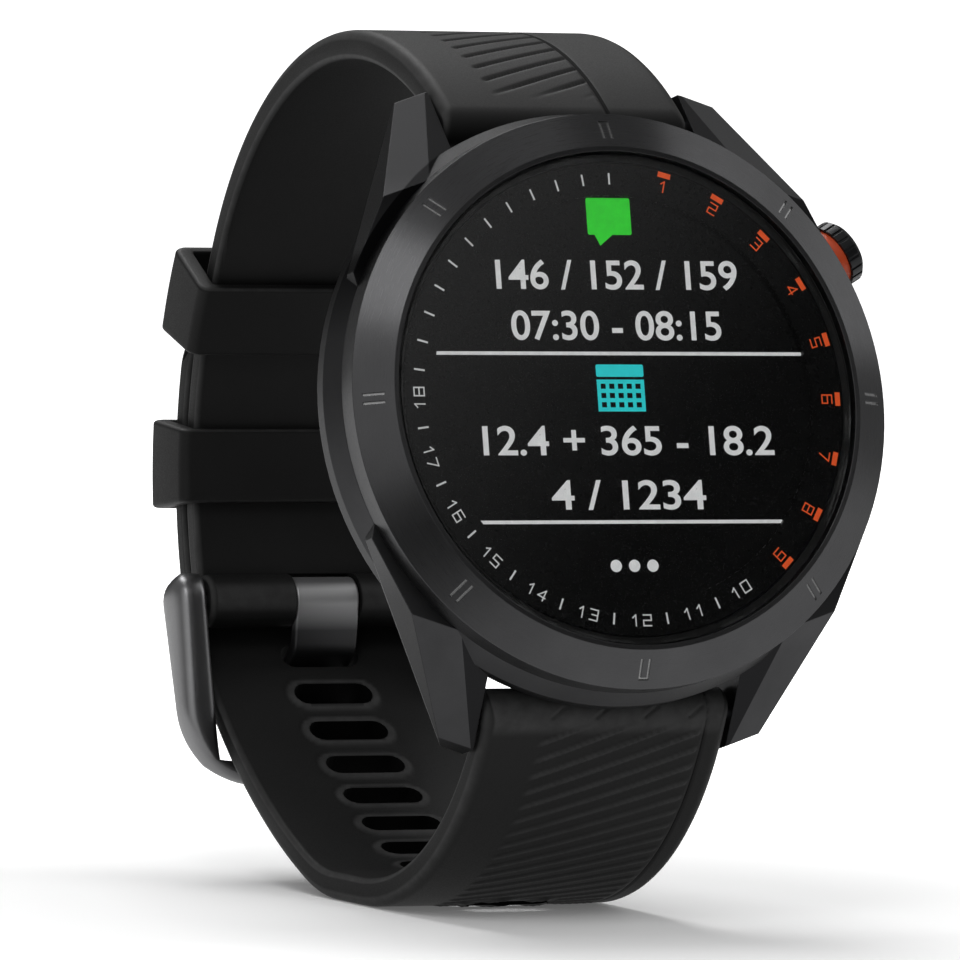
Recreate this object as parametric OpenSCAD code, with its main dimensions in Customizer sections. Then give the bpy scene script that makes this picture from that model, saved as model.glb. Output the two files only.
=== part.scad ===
// Golf GPS watch on its buckled strap, standing on the strap with the dial leaning back.
// Head frame: x to 3 o'clock, y to 12 o'clock, z out of the dial, origin behind the lens.
// Loop plane: first axis to the rear of the dial, second to 12 o'clock, third along x.
// A pose on the loop is [rear, up, direction of the outward normal in degrees].

/* [Stance] */
// Lean of the dial back from upright, in degrees
tilt = 12.5; // [11:0.5:14]

/* [Case] */
// Largest diameter of the case
case_d = 43.4; // [40:0.2:48]
// Thickness from the rear face to the bezel's lip
case_thick = 11.7; // [10.6:0.1:13]
// Height of the case's widest band
band_h = 1; // [0.6:0.1:1.4]
// Depth of the sloped shoulder between the bezel and the widest band
shoulder_h = 1.8; // [1.4:0.1:2]
// Width of the ledge that carries the board
ledge_w = 1.4; // [1.2:0.1:1.6]
// Thickness of that ledge
ledge_t = 0.8; // [0.6:0.1:1]
// Distance that the widest band stands out past the bezel
flare = 0.7; // [0.4:0.1:1]
// Wall of the case at its rear face
rear_wall = 1.9; // [1.6:0.1:2.2]
// Height of the rear edge below the tapered side
edge_h = 1.7; // [1.4:0.1:2]
// Draft of that rear edge
edge_draft = 0.3; // [0.1:0.1:0.5]

/* [Lugs] */
// Gap between a pair of lugs
lug_gap = 20; // [19.8:0.1:20.4]
// Width of a lug at its tip
lug_tip_w = 2.7; // [2.4:0.1:3]
// Distance that a lug's tip stands out past the case
lug_reach = 2.4; // [2:0.1:3]
// Slant of a lug's tip, from its inner to its outer corner
lug_slant = 0.9; // [0.6:0.1:1.2]
// Height of a lug's upper tip edge over the rear face
lug_up = 2.4; // [2.2:0.1:2.6]
// Height of a lug's end face
lug_end_h = 2; // [1.8:0.1:2.2]
// Lean of a lug's front facet from the dial's plane, in degrees
facet_lean = 42.5; // [41:0.5:44]
// Direction that a lug's inner bevel faces, from 3 o'clock towards 12, in degrees
bevel_turn = 103; // [98:1:108]
// Lean of that bevel from the dial's plane, in degrees
bevel_lean = 36; // [35:0.5:37.5]
// Direction that a lug's undercut side faces, from 3 o'clock towards 12, in degrees
side_turn = 18; // [16:1:20]
// Lean of that side from the dial's plane, in degrees
side_lean = 114; // [110:1:116]
// Rise of a lug's underside towards the case, in degrees
lug_rise = 14; // [12:1:16]
// Distance of a spring bar behind the lug's tip
bar_in = 2.5; // [2.3:0.1:2.7]
// Height of the spring bars over the rear face
bar_up = 2.55; // [2.4:0.05:2.7]

/* [Bezel and lens] */
// Width of the bezel's bevel
bevel_w = 2.65; // [2.2:0.05:3]
// Height of the bezel
bezel_h = 3.35; // [3.2:0.05:3.5]
// Drop of the bezel's bevel
bevel_drop = 1.45; // [1.2:0.05:1.7]
// Width of the flat lip inside the bevel
lip_w = 0.35; // [0.2:0.05:0.5]
// Length of the engraved marks on the bevel
mark_l = 1.6; // [1.2:0.1:2]
// Width of one engraved line
mark_w = 0.18; // [0.14:0.02:0.24]
// Distance between the two lines of a mark
mark_gap = 0.62; // [0.5:0.02:0.8]
// Depth of the engraving
mark_depth = 0.12; // [0.08:0.02:0.16]
// Thickness of the lens
lens_t = 0.7; // [0.6:0.05:0.8]
// Depth of the lens below the lip
lens_recess = 0.3; // [0.2:0.05:0.4]
// Thickness of the lens gasket
gasket_t = 0.15; // [0.1:0.05:0.2]
// Width of the shelf under the lens
shelf_w = 0.5; // [0.4:0.05:0.6]
// Thickness of that shelf
shelf_t = 0.6; // [0.5:0.05:0.7]

/* [Display and works] */
// Thickness of the printed chapter ring
chapter_t = 0.4; // [0.3:0.05:0.5]
// Lap of the chapter ring over the display panel
window_lap = 0.8; // [0.5:0.1:1.1]
// Wall of the frame round the display panel
carrier_wall = 1.3; // [1:0.1:1.6]
// Thickness of the display panel
panel_t = 1.5; // [1.3:0.1:1.6]
// Thickness of the floor under the display panel
floor_t = 0.5; // [0.4:0.1:0.6]
// Width of that floor
floor_w = 1.4; // [1.2:0.1:1.6]
// Height of the room for the display's flex
flex_gap = 0.7; // [0.6:0.1:0.9]
// Width of the display's flex
flex_w = 8; // [6:0.5:9]
// Thickness of the display's flex
flex_t = 0.2; // [0.15:0.05:0.3]
// Width of the antenna ring
antenna_w = 0.95; // [0.8:0.05:1.1]
// Distance of the antenna ring outside the works' bore
antenna_in = 0.3; // [0.2:0.05:0.4]
// Thickness of the main board
board_t = 0.8; // [0.6:0.1:0.9]
// Height of the shield can
shield_h = 1.2; // [1:0.1:1.3]
// Length of the shield can
shield_l = 11; // [10:0.5:12]
// Width of the shield can
shield_w = 8; // [7:0.5:9]
// Width of the battery as a share of the works' bore
battery_share = 0.5; // [0.4:0.02:0.54]
// Room round the battery
battery_room = 1.6; // [1.4:0.1:2]
// Gap between the battery and its neighbours
battery_gap = 0.6; // [0.5:0.1:0.9]
// Diameter of the vibration motor
motor_d = 8; // [7.4:0.1:8.2]
// Height of the vibration motor
motor_h = 2.6; // [2.4:0.1:2.8]
// Direction of the motor from the dial's middle, in degrees below 3 o'clock
motor_angle = 23; // [20:1:26]
// Sheet of the motor's can
motor_sheet = 0.3; // [0.2:0.05:0.4]

/* [Rear cover] */
// Thickness of the rear cover
cover_t = 1.65; // [1.5:0.05:1.8]
// Height of the cover's straight edge
cover_edge = 0.4; // [0.3:0.05:0.5]
// Width of the round at the cover's edge
cover_round = 1.4; // [1:0.1:1.8]
// Fall of the cover from its flat to that round
cover_fall = 0.33; // [0.2:0.01:0.4]
// Width of the slope round the flat that rests on the wrist
cover_slope = 3.1; // [2.6:0.1:3.4]
// Distance of the cover screws inside the works' bore
screw_in = 1.7; // [1.6:0.1:1.9]
// Diameter of a screw's shank
screw_d = 1; // [0.8:0.1:1.2]
// Diameter of a screw's head
screw_head_d = 2; // [1.8:0.1:2.2]
// Height of a screw's head
screw_head_h = 0.6; // [0.5:0.1:0.7]
// Length of a screw's shank
screw_l = 2.6; // [2.2:0.1:3]
// Wall of a screw boss
boss_wall = 0.75; // [0.6:0.05:0.8]
// Width of the seal under the cover
seal_w = 0.7; // [0.6:0.1:0.8]
// Thickness of that seal
seal_t = 0.5; // [0.4:0.1:0.6]
// Diameter of a charging contact
contact_d = 1.5; // [1.3:0.1:1.7]
// Distance between neighbouring charging contacts
contact_pitch = 3; // [2.8:0.1:3.2]
// Distance of the contacts inside the works' bore
contact_in = 6.4; // [6.2:0.1:6.8]
// Length of a contact above the cover
contact_pad = 0.4; // [0.3:0.05:0.5]
// Edge of the contact insert round the contacts
insert_edge = 1; // [0.8:0.1:1.2]

/* [Button] */
// Clock angle of the button from 12 o'clock, in degrees
button_angle = 60; // [58:1:62]
// Diameter of the button's cap
cap_d = 4.9; // [4.7:0.1:5.1]
// Thickness of the button's cap
cap_t = 1.3; // [1.1:0.1:1.5]
// Distance that the cap's outer face stands out of the case
cap_out = 2.3; // [2.1:0.1:2.5]
// Depth of the button's axis below the board
button_drop = 0.7; // [0.6:0.05:0.8]
// Chamfer of the cap's outer edge
cap_chamfer = 0.35; // [0.25:0.05:0.45]
// Width of the cap's flat rim
cap_rim = 0.45; // [0.35:0.05:0.55]
// Depth of the dished middle of the cap
cap_dish = 0.12; // [0.08:0.02:0.16]
// Width and depth of a groove in the cap's side
cap_groove = 0.22; // [0.18:0.02:0.26]
// Grooves round the cap
cap_grooves = 20; // [16:1:24]
// Lap of the cap over its ring
cap_lap = 0.25; // [0.2:0.05:0.35]
// Coloured ring showing between cap and case
ring_show = 1; // [0.8:0.1:1.1]
// Travel of the button
press = 0.6; // [0.5:0.05:0.7]
// Diameter of the button's stem
stem_d = 1.7; // [1.5:0.1:1.8]
// Wire of the button's spring
button_wire = 0.3; // [0.25:0.05:0.35]
// Depth of the spring's pocket
spring_pocket = 1.3; // [1.2:0.05:1.4]
// Diameter of the stem's clip
clip_d = 2.6; // [2.4:0.1:2.7]
// Thickness of the stem's clip
clip_t = 0.35; // [0.3:0.05:0.4]
// Depth of the stem's grooves
groove = 0.25; // [0.2:0.05:0.3]
// Depth of the switch behind the button
switch_l = 2.6; // [2.4:0.1:2.8]
// Width of that switch
switch_w = 3.1; // [2.8:0.1:3.4]
// Length of its plunger
plunger_l = 0.5; // [0.4:0.05:0.6]

/* [Strap] */
// Room between the strap and a lug
strap_room = 0.35; // [0.3:0.05:0.6]
// Thickness of the short upper strap
upper_t = 2.2; // [2:0.1:2.3]
// Thickness of the long lower strap
lower_t = 2.1; // [1.9:0.1:2.2]
// Diameter of a strap's rolled end at the lugs
roll_d = 3.8; // [3.6:0.1:3.9]
// Distance of the rear bend's middle behind the dial
bend_rear = 30; // [29.6:0.1:30.4]
// Height of the rear bend's middle above the dial's middle
bend_up = -0.5; // [-0.8:0.1:-0.2]
// Wrist-side radius of the rear bend
bend_r = 28; // [27.6:0.1:28.4]
// Where the upper strap leaves the rear bend, in degrees above straight back
bend_top = 30; // [28:1:32]
// Radius of the easy stretch above the rear bend
ease_r = 50; // [46:1:54]
// Turn of that stretch, in degrees
ease_turn = 10; // [8:1:12]
// End of the lower strap's tail, in degrees above straight back
tail_end = 35.5; // [34:0.5:36]
// Where the lower strap leaves the rear bend, in degrees below straight back
dip_start = 7.75; // [7:0.25:8.5]
// Outer radius of the lower strap through the buckle, as a share of the frame's length
dip_share = 1.147; // [1.1:0.01:1.2]
// Turn of that stretch, in degrees
dip_turn = 24.5; // [23.5:0.5:25.5]
// Outer radius of the stretch with the slots
slot_r = 55; // [52:1:58]
// Turn of that stretch, in degrees
slot_turn = 26; // [25:0.5:27]
// Outer radius of the heel behind the resting flat
heel_r = 16; // [14:0.5:18]
// Length of the flat that the watch rests on
flat_l = 5; // [4.5:0.5:5.5]
// Distance of the tang's slot before the end of the stretch through the buckle
slot_back = 1.2; // [1:0.1:1.3]
// Width of an adjusting slot
slot_w = 6.4; // [6.2:0.1:6.8]
// Length of an adjusting slot along the strap
slot_l = 2.1; // [2:0.1:2.3]
// Distance between neighbouring slots
slot_pitch = 4.2; // [4:0.1:4.3]
// Slots between the buckle and the tail's end
slots_tail = 5; // [3:1:5]
// Slots between the buckle and the lugs
slots_lug = 10; // [8:1:10]
// Rounding of the tail's corners
tail_r = 6; // [5:0.5:7]

/* [Keepers] */
// Length of a keeper along the strap, in degrees of the rear bend
keeper_turn = 11.8; // [11:0.2:12.4]
// Middle of the upper keeper, in degrees above straight back
keeper_top = 35.3; // [34.5:0.1:36]
// Middle of the lower keeper, in degrees above straight back
keeper_low = 11.2; // [10:0.1:12]
// Wall of a keeper over the strap's faces
keeper_wall = 0.9; // [0.8:0.05:1.1]
// Wall of a keeper beside the strap
keeper_side = 1.3; // [1.1:0.1:1.5]
// Rounding of a keeper's outer corners
keeper_round = 0.85; // [0.6:0.05:0.9]

/* [Buckle] */
// Diameter of the buckle's pin
pin_d = 1.5; // [1.3:0.1:1.7]
// Diameter of the strap's rolled end on the pin
hub_d = 4.1; // [3.9:0.1:4.2]
// Place of the pin, in degrees below straight back
pin_angle = 10.3; // [9.8:0.1:10.8]
// Lean of the buckle's frame towards the wrist, in degrees
frame_lean = 5; // [4:0.5:6]
// Length of the frame from the pin to its outer end
frame_l = 15; // [14.6:0.1:15.4]
// Width of an arm of the frame
arm_w = 2.1; // [1.9:0.1:2.3]
// Thickness of the frame
frame_t = 2.2; // [2:0.1:2.4]
// Diameter of the frame's eyes round the pin
eye_d = 3.6; // [3.4:0.1:3.8]
// Width of the frame's end bar
end_w = 2.3; // [2.1:0.1:2.5]
// Outer corner radius of the frame
frame_r = 5.5; // [5:0.5:6]
// Room between the tang and a slot's end
tang_room = 0.6; // [0.5:0.05:0.7]
// Thickness of the end bar's edge as a share of the frame's
end_share = 0.6; // [0.5:0.05:0.7]
// Reach of the pin into an arm as a share of its width
pin_share = 0.7; // [0.6:0.05:0.8]
// Thickness of the tang
tang_t = 1; // [0.9:0.05:1.1]
// Diameter of the tang's eye
tang_eye_d = 3.9; // [3.7:0.1:4]

/* [Spring bars] */
// Diameter of a spring bar's tube
tube_d = 1.5; // [1.4:0.05:1.6]
// Diameter of its pins
tip_d = 0.9; // [0.8:0.05:0.95]
// Reach of a pin into its lug
tip_reach = 0.9; // [0.8:0.05:1]
// Travel of the quick-release pin
release = 1.3; // [1.2:0.05:1.4]
// Distance of the release lever inside the strap's edge
lever_in = 2.25; // [2:0.05:2.5]
// Distance of a tube's end inside the strap's edge
bar_short = 0.25; // [0.2:0.05:0.4]
// Distance of the tube's blind end past the middle
bore_end = 3.4; // [3:0.1:3.8]
// Distance of the release pin's inner end from the middle
pin_in = 3.6; // [3.4:0.1:3.8]
// Diameter of the release lever
lever_d = 0.8; // [0.7:0.05:0.9]
// Distance that the lever stands out of the strap
lever_out = 0.4; // [0.3:0.05:0.5]
// Wire of the spring inside the tube
bar_wire = 0.16; // [0.14:0.01:0.18]

/* [Fits] */
// Running clearance of a pin in its hole, on the radius
run = 0.05; // [0.03:0.01:0.07]
// Clearance between parts that lie close
close = 0.1; // [0.08:0.01:0.12]
// Clearance of a part dropped into its seat
seat = 0.15; // [0.1:0.01:0.2]
// Clearance of a sliding keeper
slip = 0.2; // [0.15:0.01:0.25]

/* [Hidden] */
$fn = 96;
cut = 1;
// Turn between neighbouring points of a strap's outline, in degrees
step = 4;

// Heights in the head frame, with the lip just over the dial's origin
lip_z = 0.75;
lens_top = lip_z - lens_recess;
lens_low = lens_top - lens_t;
shelf_z = lens_low - gasket_t;
chapter_z = lens_low - run;
panel_z = chapter_z - chapter_t;
floor_z = panel_z - panel_t;
seam_z = lip_z - bezel_h;
back_z = lip_z - case_thick;
cover_z = back_z + cover_t;
board_z = floor_z - floor_t - flex_gap;
ledge_z = board_z - board_t;
works_z = ledge_z - ledge_t;
button_z = ledge_z - button_drop;

// Radii of the head
case_r = case_d / 2;
bezel_r = case_r - flare;
lip_r = bezel_r - bevel_w - lip_w;
lens_r = lip_r - seat;
shelf_r = lens_r - shelf_w;
chapter_r = shelf_r - seat;
carrier_r = chapter_r - close - carrier_wall;
panel_r = carrier_r - close;
window_r = panel_r - window_lap;
works_r = chapter_r;
board_r = works_r - seat;
antenna_r = works_r + antenna_in;
hollow_r = antenna_r + antenna_w + close;
rear_r = works_r + rear_wall;

// Places of the works
motor_r = works_r - ledge_w - slip - motor_d / 2;
motor_x = motor_r * cos(motor_angle);
motor_y = motor_r * sin(motor_angle);
battery_w = 2 * works_r * battery_share;
battery_t = ledge_z - shield_h - battery_gap - cover_z;
battery_left = sqrt(pow(works_r - battery_room, 2) - pow(battery_w / 2, 2));
battery_right = motor_x - motor_d / 2 - battery_gap;
battery_l = battery_left + battery_right;
battery_x = (battery_left - battery_right) / 2;
screw_r = works_r - screw_in;
contact_y = works_r - contact_in;

// Lug corners in the head frame
lug_x = lug_gap / 2;
tip_out_x = lug_x + lug_tip_w;
tip_y = case_r + lug_reach;
tip_out_y = tip_y - lug_slant;
tip_z = back_z + lug_up;
facet_turn = 90 - atan(lug_slant / lug_tip_w);
bar_y = tip_y - bar_in;
bar_z = back_z + bar_up;
strap_w = lug_gap - 2 * strap_room;
roll_r = roll_d / 2;

// Rear bend and its layers
bend = [bend_rear, bend_up];
dip_r = frame_l * dip_share;
tang_w = slot_w - 2 * tang_room;
upper_r = bend_r + upper_t;
lower_r = upper_r + close + lower_t;
hub_r = hub_d / 2;
pin_at = bend + (upper_r - hub_r - close) * [cos(pin_angle), -sin(pin_angle)];

// Poses along the loop
function arm(c, r, q) = [c[0] + r * cos(q), c[1] + r * sin(q), q];
function middle(p, r) = [p[0] - r * cos(p[2]), p[1] - r * sin(p[2])];
function down_arc(p, r, turn) = arm(middle(p, r), r, p[2] - turn);
function down_line(p, l) = [p[0] + l * sin(p[2]), p[1] - l * cos(p[2]), p[2]];
function inward(p) = -[cos(p[2]), sin(p[2])];
// Radius of the arc that starts at pose p and goes round a roll of radius r at c
function last_r(p, c, r) = let (d = c - [p[0], p[1]])
    (d * d - r * r) / (2 * (d * inward(p) - r));
function last_q(p, c, r) = let (v = c - middle(p, last_r(p, c, r)))
    atan2(v[1], v[0]);

roll_up = [-bar_z, bar_y];
roll_down = [-bar_z, -bar_y];

// The strap's face lies this far under the round of its rolled end
face_r = roll_r - close;

up_0 = arm(bend, upper_r, -pin_angle);
up_1 = arm(bend, upper_r, bend_top);
up_2 = down_arc(up_1, ease_r, -ease_turn);
up_last_r = last_r(up_2, roll_up, face_r);
up_last_turn = last_q(up_2, roll_up, face_r) - up_2[2];
// The upper strap's outer face as [start, radius, turn], turning up the loop
up_path = [
    [up_0, upper_r, -pin_angle - bend_top],
    [up_1, ease_r, -ease_turn],
    [up_2, up_last_r, -up_last_turn]];

flat_q = tilt - 90;
low_0 = arm(bend, lower_r, tail_end);
low_1 = arm(bend, lower_r, -dip_start);
low_2 = down_arc(low_1, dip_r, dip_turn);
low_3 = down_arc(low_2, slot_r, slot_turn);
heel_turn = low_3[2] - flat_q;
low_4 = down_arc(low_3, heel_r, heel_turn);
low_5 = down_line(low_4, flat_l);
low_last_r = last_r(low_5, roll_down, face_r);
low_last_turn = low_5[2] - last_q(low_5, roll_down, face_r);

// The lower strap's outer face as [start, radius, turn]
low_path = [
    [low_0, lower_r, tail_end + dip_start],
    [low_1, dip_r, dip_turn],
    [low_2, slot_r, slot_turn],
    [low_3, heel_r, heel_turn],
    [low_4, 0, flat_l],
    [low_5, low_last_r, low_last_turn]];
function run_of(s) = s[1] == 0 ? s[2] : s[1] * s[2] * PI / 180;
// Points of a path's face, t under its outer face
function inside(p, t) = [p[0], p[1]] + t * inward(p);
function face_of(s, t) = s[1] == 0 ? [inside(s[0], t)]
    : let (n = ceil(abs(s[2]) / step)) [for (i = [0 : n - 1]) inside(down_arc(s[0], s[1], s[2] * i / n), t)];
function path_end(s) = s[1] == 0 ? down_line(s[0], s[2]) : down_arc(s[0], s[1], s[2]);
function face(path, t) = concat([for (s = path) each face_of(s, t)], [inside(path_end(path[len(path) - 1]), t)]);
function back_to_front(list) = [for (i = [len(list) - 1 : -1 : 0]) list[i]];
function on_piece(s, d) = s[1] == 0 ? down_line(s[0], d) : down_arc(s[0], s[1], d / s[1] * 180 / PI);
function along(d, i = 0) = d <= run_of(low_path[i]) || i == len(low_path) - 1
    ? on_piece(low_path[i], d) : along(d - run_of(low_path[i]), i + 1);
slot_from = run_of(low_path[0]) + run_of(low_path[1]) - slot_back;
tang_slot = along(slot_from);

// Place of the head over the point that the part is measured from
dial_h = -(low_4[1] * cos(tilt) - low_4[0] * sin(tilt));
cap_r = case_r + cap_out;
right_x = cap_r * sin(button_angle) + cap_d / 2 * cos(button_angle);
mid_x = (max(right_x, case_r) - case_r) / 2;
keeper_r = lower_r + slip + keeper_wall;
front_y = -(lip_r + lip_w) * sin(tilt) - lip_z * cos(tilt);
rear_y = bend_up * sin(tilt) + bend_rear * cos(tilt) + keeper_r;
mid_y = (front_y + rear_y) / 2;

module head() {
    translate([-mid_x, -mid_y, dial_h]) rotate([90 - tilt, 0, 0]) children();
}
module loop() {
    head() rotate([0, 90, 0]) children();
}
// Along the button, from the dial's axis outwards
module button_axis() {
    head() translate([0, 0, button_z]) rotate([0, 0, 90 - button_angle]) rotate([0, 90, 0]) children();
}
module tube(r, bore, low, high) {
    translate([0, 0, low]) difference() {
        cylinder(h = high - low, r = r);
        translate([0, 0, -cut]) cylinder(h = high - low + 2 * cut, r = bore);
    }
}
module disc(r, low, high) {
    translate([0, 0, low]) cylinder(h = high - low, r = r);
}
module block(size, at) {
    translate(at) cube(size, center = true);
}
// Two mirrored copies about the dial's middle line
module both_sides(axis) {
    children();
    mirror(axis) children();
}

// Wire wound round the z axis from low to high
module coil(r, wire, low, high, turns, rings = 10) {
    sides = 6;
    n = turns * rings;
    rise = high - low - wire;
    points = [for (i = [0 : n]) for (k = [0 : sides - 1])
        let (q = 360 * i / rings, s = 360 * k / sides, out = r + wire / 2 * cos(s))
        [out * cos(q), out * sin(q), low + wire / 2 + rise * i / n + wire / 2 * sin(s)]];
    walls = [for (i = [0 : n - 1]) for (k = [0 : sides - 1]) for (half = [0, 1])
        let (a = i * sides + k, b = i * sides + (k + 1) % sides)
        half == 0 ? [a, b, b + sides] : [a, b + sides, a + sides]];
    ends = concat([for (k = [1 : sides - 2]) [0, k + 1, k]],
        [for (k = [1 : sides - 2]) [n * sides, n * sides + k, n * sides + k + 1]]);
    polyhedron(points, concat(walls, ends));
}

// Head

module lug_plan() {
    reach = norm([tip_out_x, tip_out_y]);
    touch = atan2(tip_out_y, tip_out_x) - acos(case_r / reach);
    polygon([[lug_x, 0], [lug_x, tip_y], [tip_out_x, tip_out_y],
        [case_r * cos(touch), case_r * sin(touch)], [works_r, 0]]);
}
// Everything on the outer side of a plane through at, facing turn and lean
module beyond(at, turn, lean) {
    translate(at) rotate([0, 0, turn]) rotate([0, lean, 0])
        translate([-case_d, -case_d, 0]) cube([2 * case_d, 2 * case_d, case_d]);
}
module lug() {
    foot_z = tip_z - lug_end_h;
    difference() {
        translate([0, 0, foot_z]) linear_extrude(seam_z - foot_z) lug_plan();
        beyond([tip_out_x, tip_out_y, tip_z + close], facet_turn, facet_lean);
        beyond([lug_x, tip_y, tip_z], bevel_turn, bevel_lean);
        beyond([tip_out_x, tip_out_y, tip_z - close], side_turn, side_lean);
        beyond([lug_x, tip_y, foot_z], -90, 180 - lug_rise);
        translate([0, bar_y, bar_z]) rotate([0, 90, 0]) cylinder(h = lug_x + tip_reach + seat, r = tip_d / 2 + run);
        disc(works_r + ledge_w / 2, cover_z, lip_z);
        disc(rear_r + close, foot_z - cut, cover_z);
    }
}
module case() {
    wide_z = seam_z - shoulder_h;
    taper_z = cover_z + edge_h;
    boss_r = screw_d / 2 + boss_wall;
    color("#2b2c2e") head() difference() {
        union() {
            rotate_extrude() difference() {
                polygon([[0, seam_z], [bezel_r, seam_z], [case_r, wide_z], [case_r, wide_z - band_h],
                    [rear_r + edge_draft, taper_z], [rear_r, cover_z], [0, cover_z]]);
                translate([-cut, cover_z - cut]) square([cut + works_r, works_z - cover_z + cut]);
                translate([-cut, works_z - cut]) square([cut + works_r - ledge_w, ledge_t + 2 * cut]);
                translate([-cut, ledge_z]) square([cut + works_r, seam_z - ledge_z + cut]);
            }
            both_sides([1, 0, 0]) both_sides([0, 1, 0]) lug();
            for (q = [45 : 90 : 315]) intersection() {
                rotate([0, 0, q]) translate([screw_r, 0, 0]) disc(boss_r, cover_z, works_z + ledge_t / 2);
                disc(works_r + boss_wall, cover_z, ledge_z);
            }
        }
        for (q = [45 : 90 : 315]) rotate([0, 0, q]) translate([screw_r, 0, 0])
            disc(screw_d / 2 + run, cover_z - cut, cover_z + screw_l);
        button_bore();
    }
}
// Stepped hole for the button, along its axis
module button_bore() {
    translate([0, 0, button_z]) rotate([0, 0, 90 - button_angle]) rotate([0, 90, 0]) {
        disc(stem_d / 2 + run, works_r - ledge_w - cut, case_r);
        disc(spring_r + button_wire, spring_low, case_r);
        disc(ring_d / 2 + close, well_low, case_r + cap_out);
        translate([0, 0, works_r - ledge_w - cut])
            linear_extrude(ledge_w + cut + spot) square([ledge_t * 4, clip_d + 2 * seat], center = true);
    }
}

module mark_lines(closed) {
    for (side = [-1, 1]) block([mark_w, mark_l, mark_depth * 2], [side * mark_gap / 2, 0, 0]);
    if (closed) block([mark_gap + mark_w, mark_w, mark_depth * 2], [0, (mark_l - mark_w) / 2, 0]);
}
module bezel() {
    slope = atan2(bevel_drop, bevel_w);
    color("#3a3b3d") head() difference() {
        rotate_extrude() polygon([[lip_r, lip_z], [lip_r + lip_w, lip_z], [bezel_r, lip_z - bevel_drop],
            [bezel_r, seam_z], [hollow_r, seam_z], [hollow_r, shelf_z - shelf_t],
            [shelf_r, shelf_z - shelf_t], [shelf_r, shelf_z], [lip_r, shelf_z]]);
        for (q = [0 : 45 : 315]) rotate([0, 0, q])
            translate([0, lip_r + lip_w + bevel_w / 2, lip_z - bevel_drop / 2]) rotate([-slope, 0, 0])
                mark_lines(q % 180 == 0);
    }
}
module lens() {
    color("#15161880") head() rotate_extrude()
        polygon([[0, lens_low], [lens_r, lens_low], [lens_r, lens_top - seat], [lens_r - seat, lens_top],
            [0, lens_top]]);
}
module lens_gasket() {
    color("#101010") head() tube(lens_r, shelf_r, shelf_z, lens_low);
}
module chapter_ring() {
    color("#0c0c0d") head() tube(chapter_r, window_r, panel_z, chapter_z);
}
module display_panel() {
    color("#060607") head() disc(panel_r, floor_z, panel_z);
}
module display_frame() {
    color("#1c1d1f") head() difference() {
        tube(chapter_r - close, carrier_r - floor_w, board_z, panel_z);
        disc(carrier_r, floor_z, panel_z + cut);
        disc(carrier_r, board_z - cut, floor_z - floor_t);
    }
}
module display_flex() {
    flex_r = carrier_r - floor_w - slip;
    flex_y = flex_t / 2 - sqrt(pow(flex_r, 2) - pow(flex_w / 2, 2));
    color("#b87a2a") head() block([flex_w, flex_t, floor_z - board_z], [0, flex_y, (floor_z + board_z) / 2]);
}
module antenna_ring() {
    color("#c9b27a") head() tube(antenna_r + antenna_w, antenna_r, seam_z, shelf_z - shelf_t - close);
}
module main_board() {
    notch_low = stem_low - press - close;
    color("#14532d") head() difference() {
        disc(board_r, ledge_z, board_z);
        rotate([0, 0, 90 - button_angle])
            block([case_r, clip_d + 2 * seat, case_thick], [notch_low + case_r / 2, 0, 0]);
    }
}
module shield_can() {
    color("#b9bcc0") head() block([shield_l, shield_w, shield_h], [-battery_x, 0, ledge_z - shield_h / 2]);
}
module battery() {
    color("#8c9096") head() block([battery_l, battery_w, battery_t], [-battery_x, 0, cover_z + battery_t / 2]);
}
module motor_at() {
    head() translate([motor_x, -motor_y, ledge_z]) children();
}
module motor_can() {
    room = motor_d / 2 - motor_sheet;
    color("#a9acb0") motor_at() difference() {
        disc(motor_d / 2, -motor_h, 0);
        disc(room, -motor_h + motor_sheet, -motor_sheet);
    }
}
module motor_rotor() {
    room = motor_d / 2 - motor_sheet - slip;
    low = -motor_h + motor_sheet + close;
    high = -motor_sheet - close;
    hub = motor_d / 8;
    color("#6e7176") motor_at() {
        disc(hub, low, high);
        intersection() {
            disc(room, low + close, high - close);
            block([2 * room, room, motor_h], [0, -room / 2, -motor_h / 2]);
        }
    }
}
insert_l = 3 * contact_pitch + contact_d + 2 * insert_edge;
insert_w = contact_d + 2 * insert_edge;
module at_contacts() {
    for (i = [0 : 3]) translate([(i - 1.5) * contact_pitch, contact_y, 0]) children();
}
module insert_shape(edge) {
    half = (insert_l - insert_w) / 2;
    translate([0, contact_y]) {
        square([2 * half, insert_w + 2 * edge], center = true);
        for (side = [-1, 1]) translate([side * half, 0]) circle(d = insert_w + 2 * edge);
    }
}
module contact_block() {
    low = cover_z + contact_pad;
    color("#202124") head() translate([0, 0, low]) linear_extrude(ledge_z - low)
        translate([0, contact_y]) square([insert_l - insert_edge, contact_d + insert_edge], center = true);
}
module charging_contacts() {
    color("#c9a24a") head() at_contacts() disc(contact_d / 2, back_z + close, cover_z + contact_pad);
}
module contact_insert() {
    color("#18191a") head() difference() {
        translate([0, 0, back_z]) linear_extrude(cover_t) insert_shape(0);
        at_contacts() disc(contact_d / 2, back_z - cut, cover_z + cut);
    }
}
module rear_cover() {
    edge_r = rear_r - close;
    round_r = edge_r - cover_round;
    color("#242527") head() difference() {
        rotate_extrude() polygon([[0, cover_z], [edge_r, cover_z], [edge_r, cover_z - cover_edge],
            [round_r, back_z + cover_fall], [round_r - cover_slope, back_z], [0, back_z]]);
        tube(works_r + seat + seal_w, works_r + seat, cover_z - seal_t, cover_z + cut);
        translate([0, 0, back_z - cut]) linear_extrude(cover_t + 2 * cut) insert_shape(0);
        for (q = [45 : 90 : 315]) rotate([0, 0, q]) translate([screw_r, 0, 0]) {
            disc(screw_d / 2 + run, back_z - cut, cover_z + cut);
            disc(screw_head_d / 2 + run, back_z - cut, cover_z - seal_t);
        }
    }
}
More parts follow.
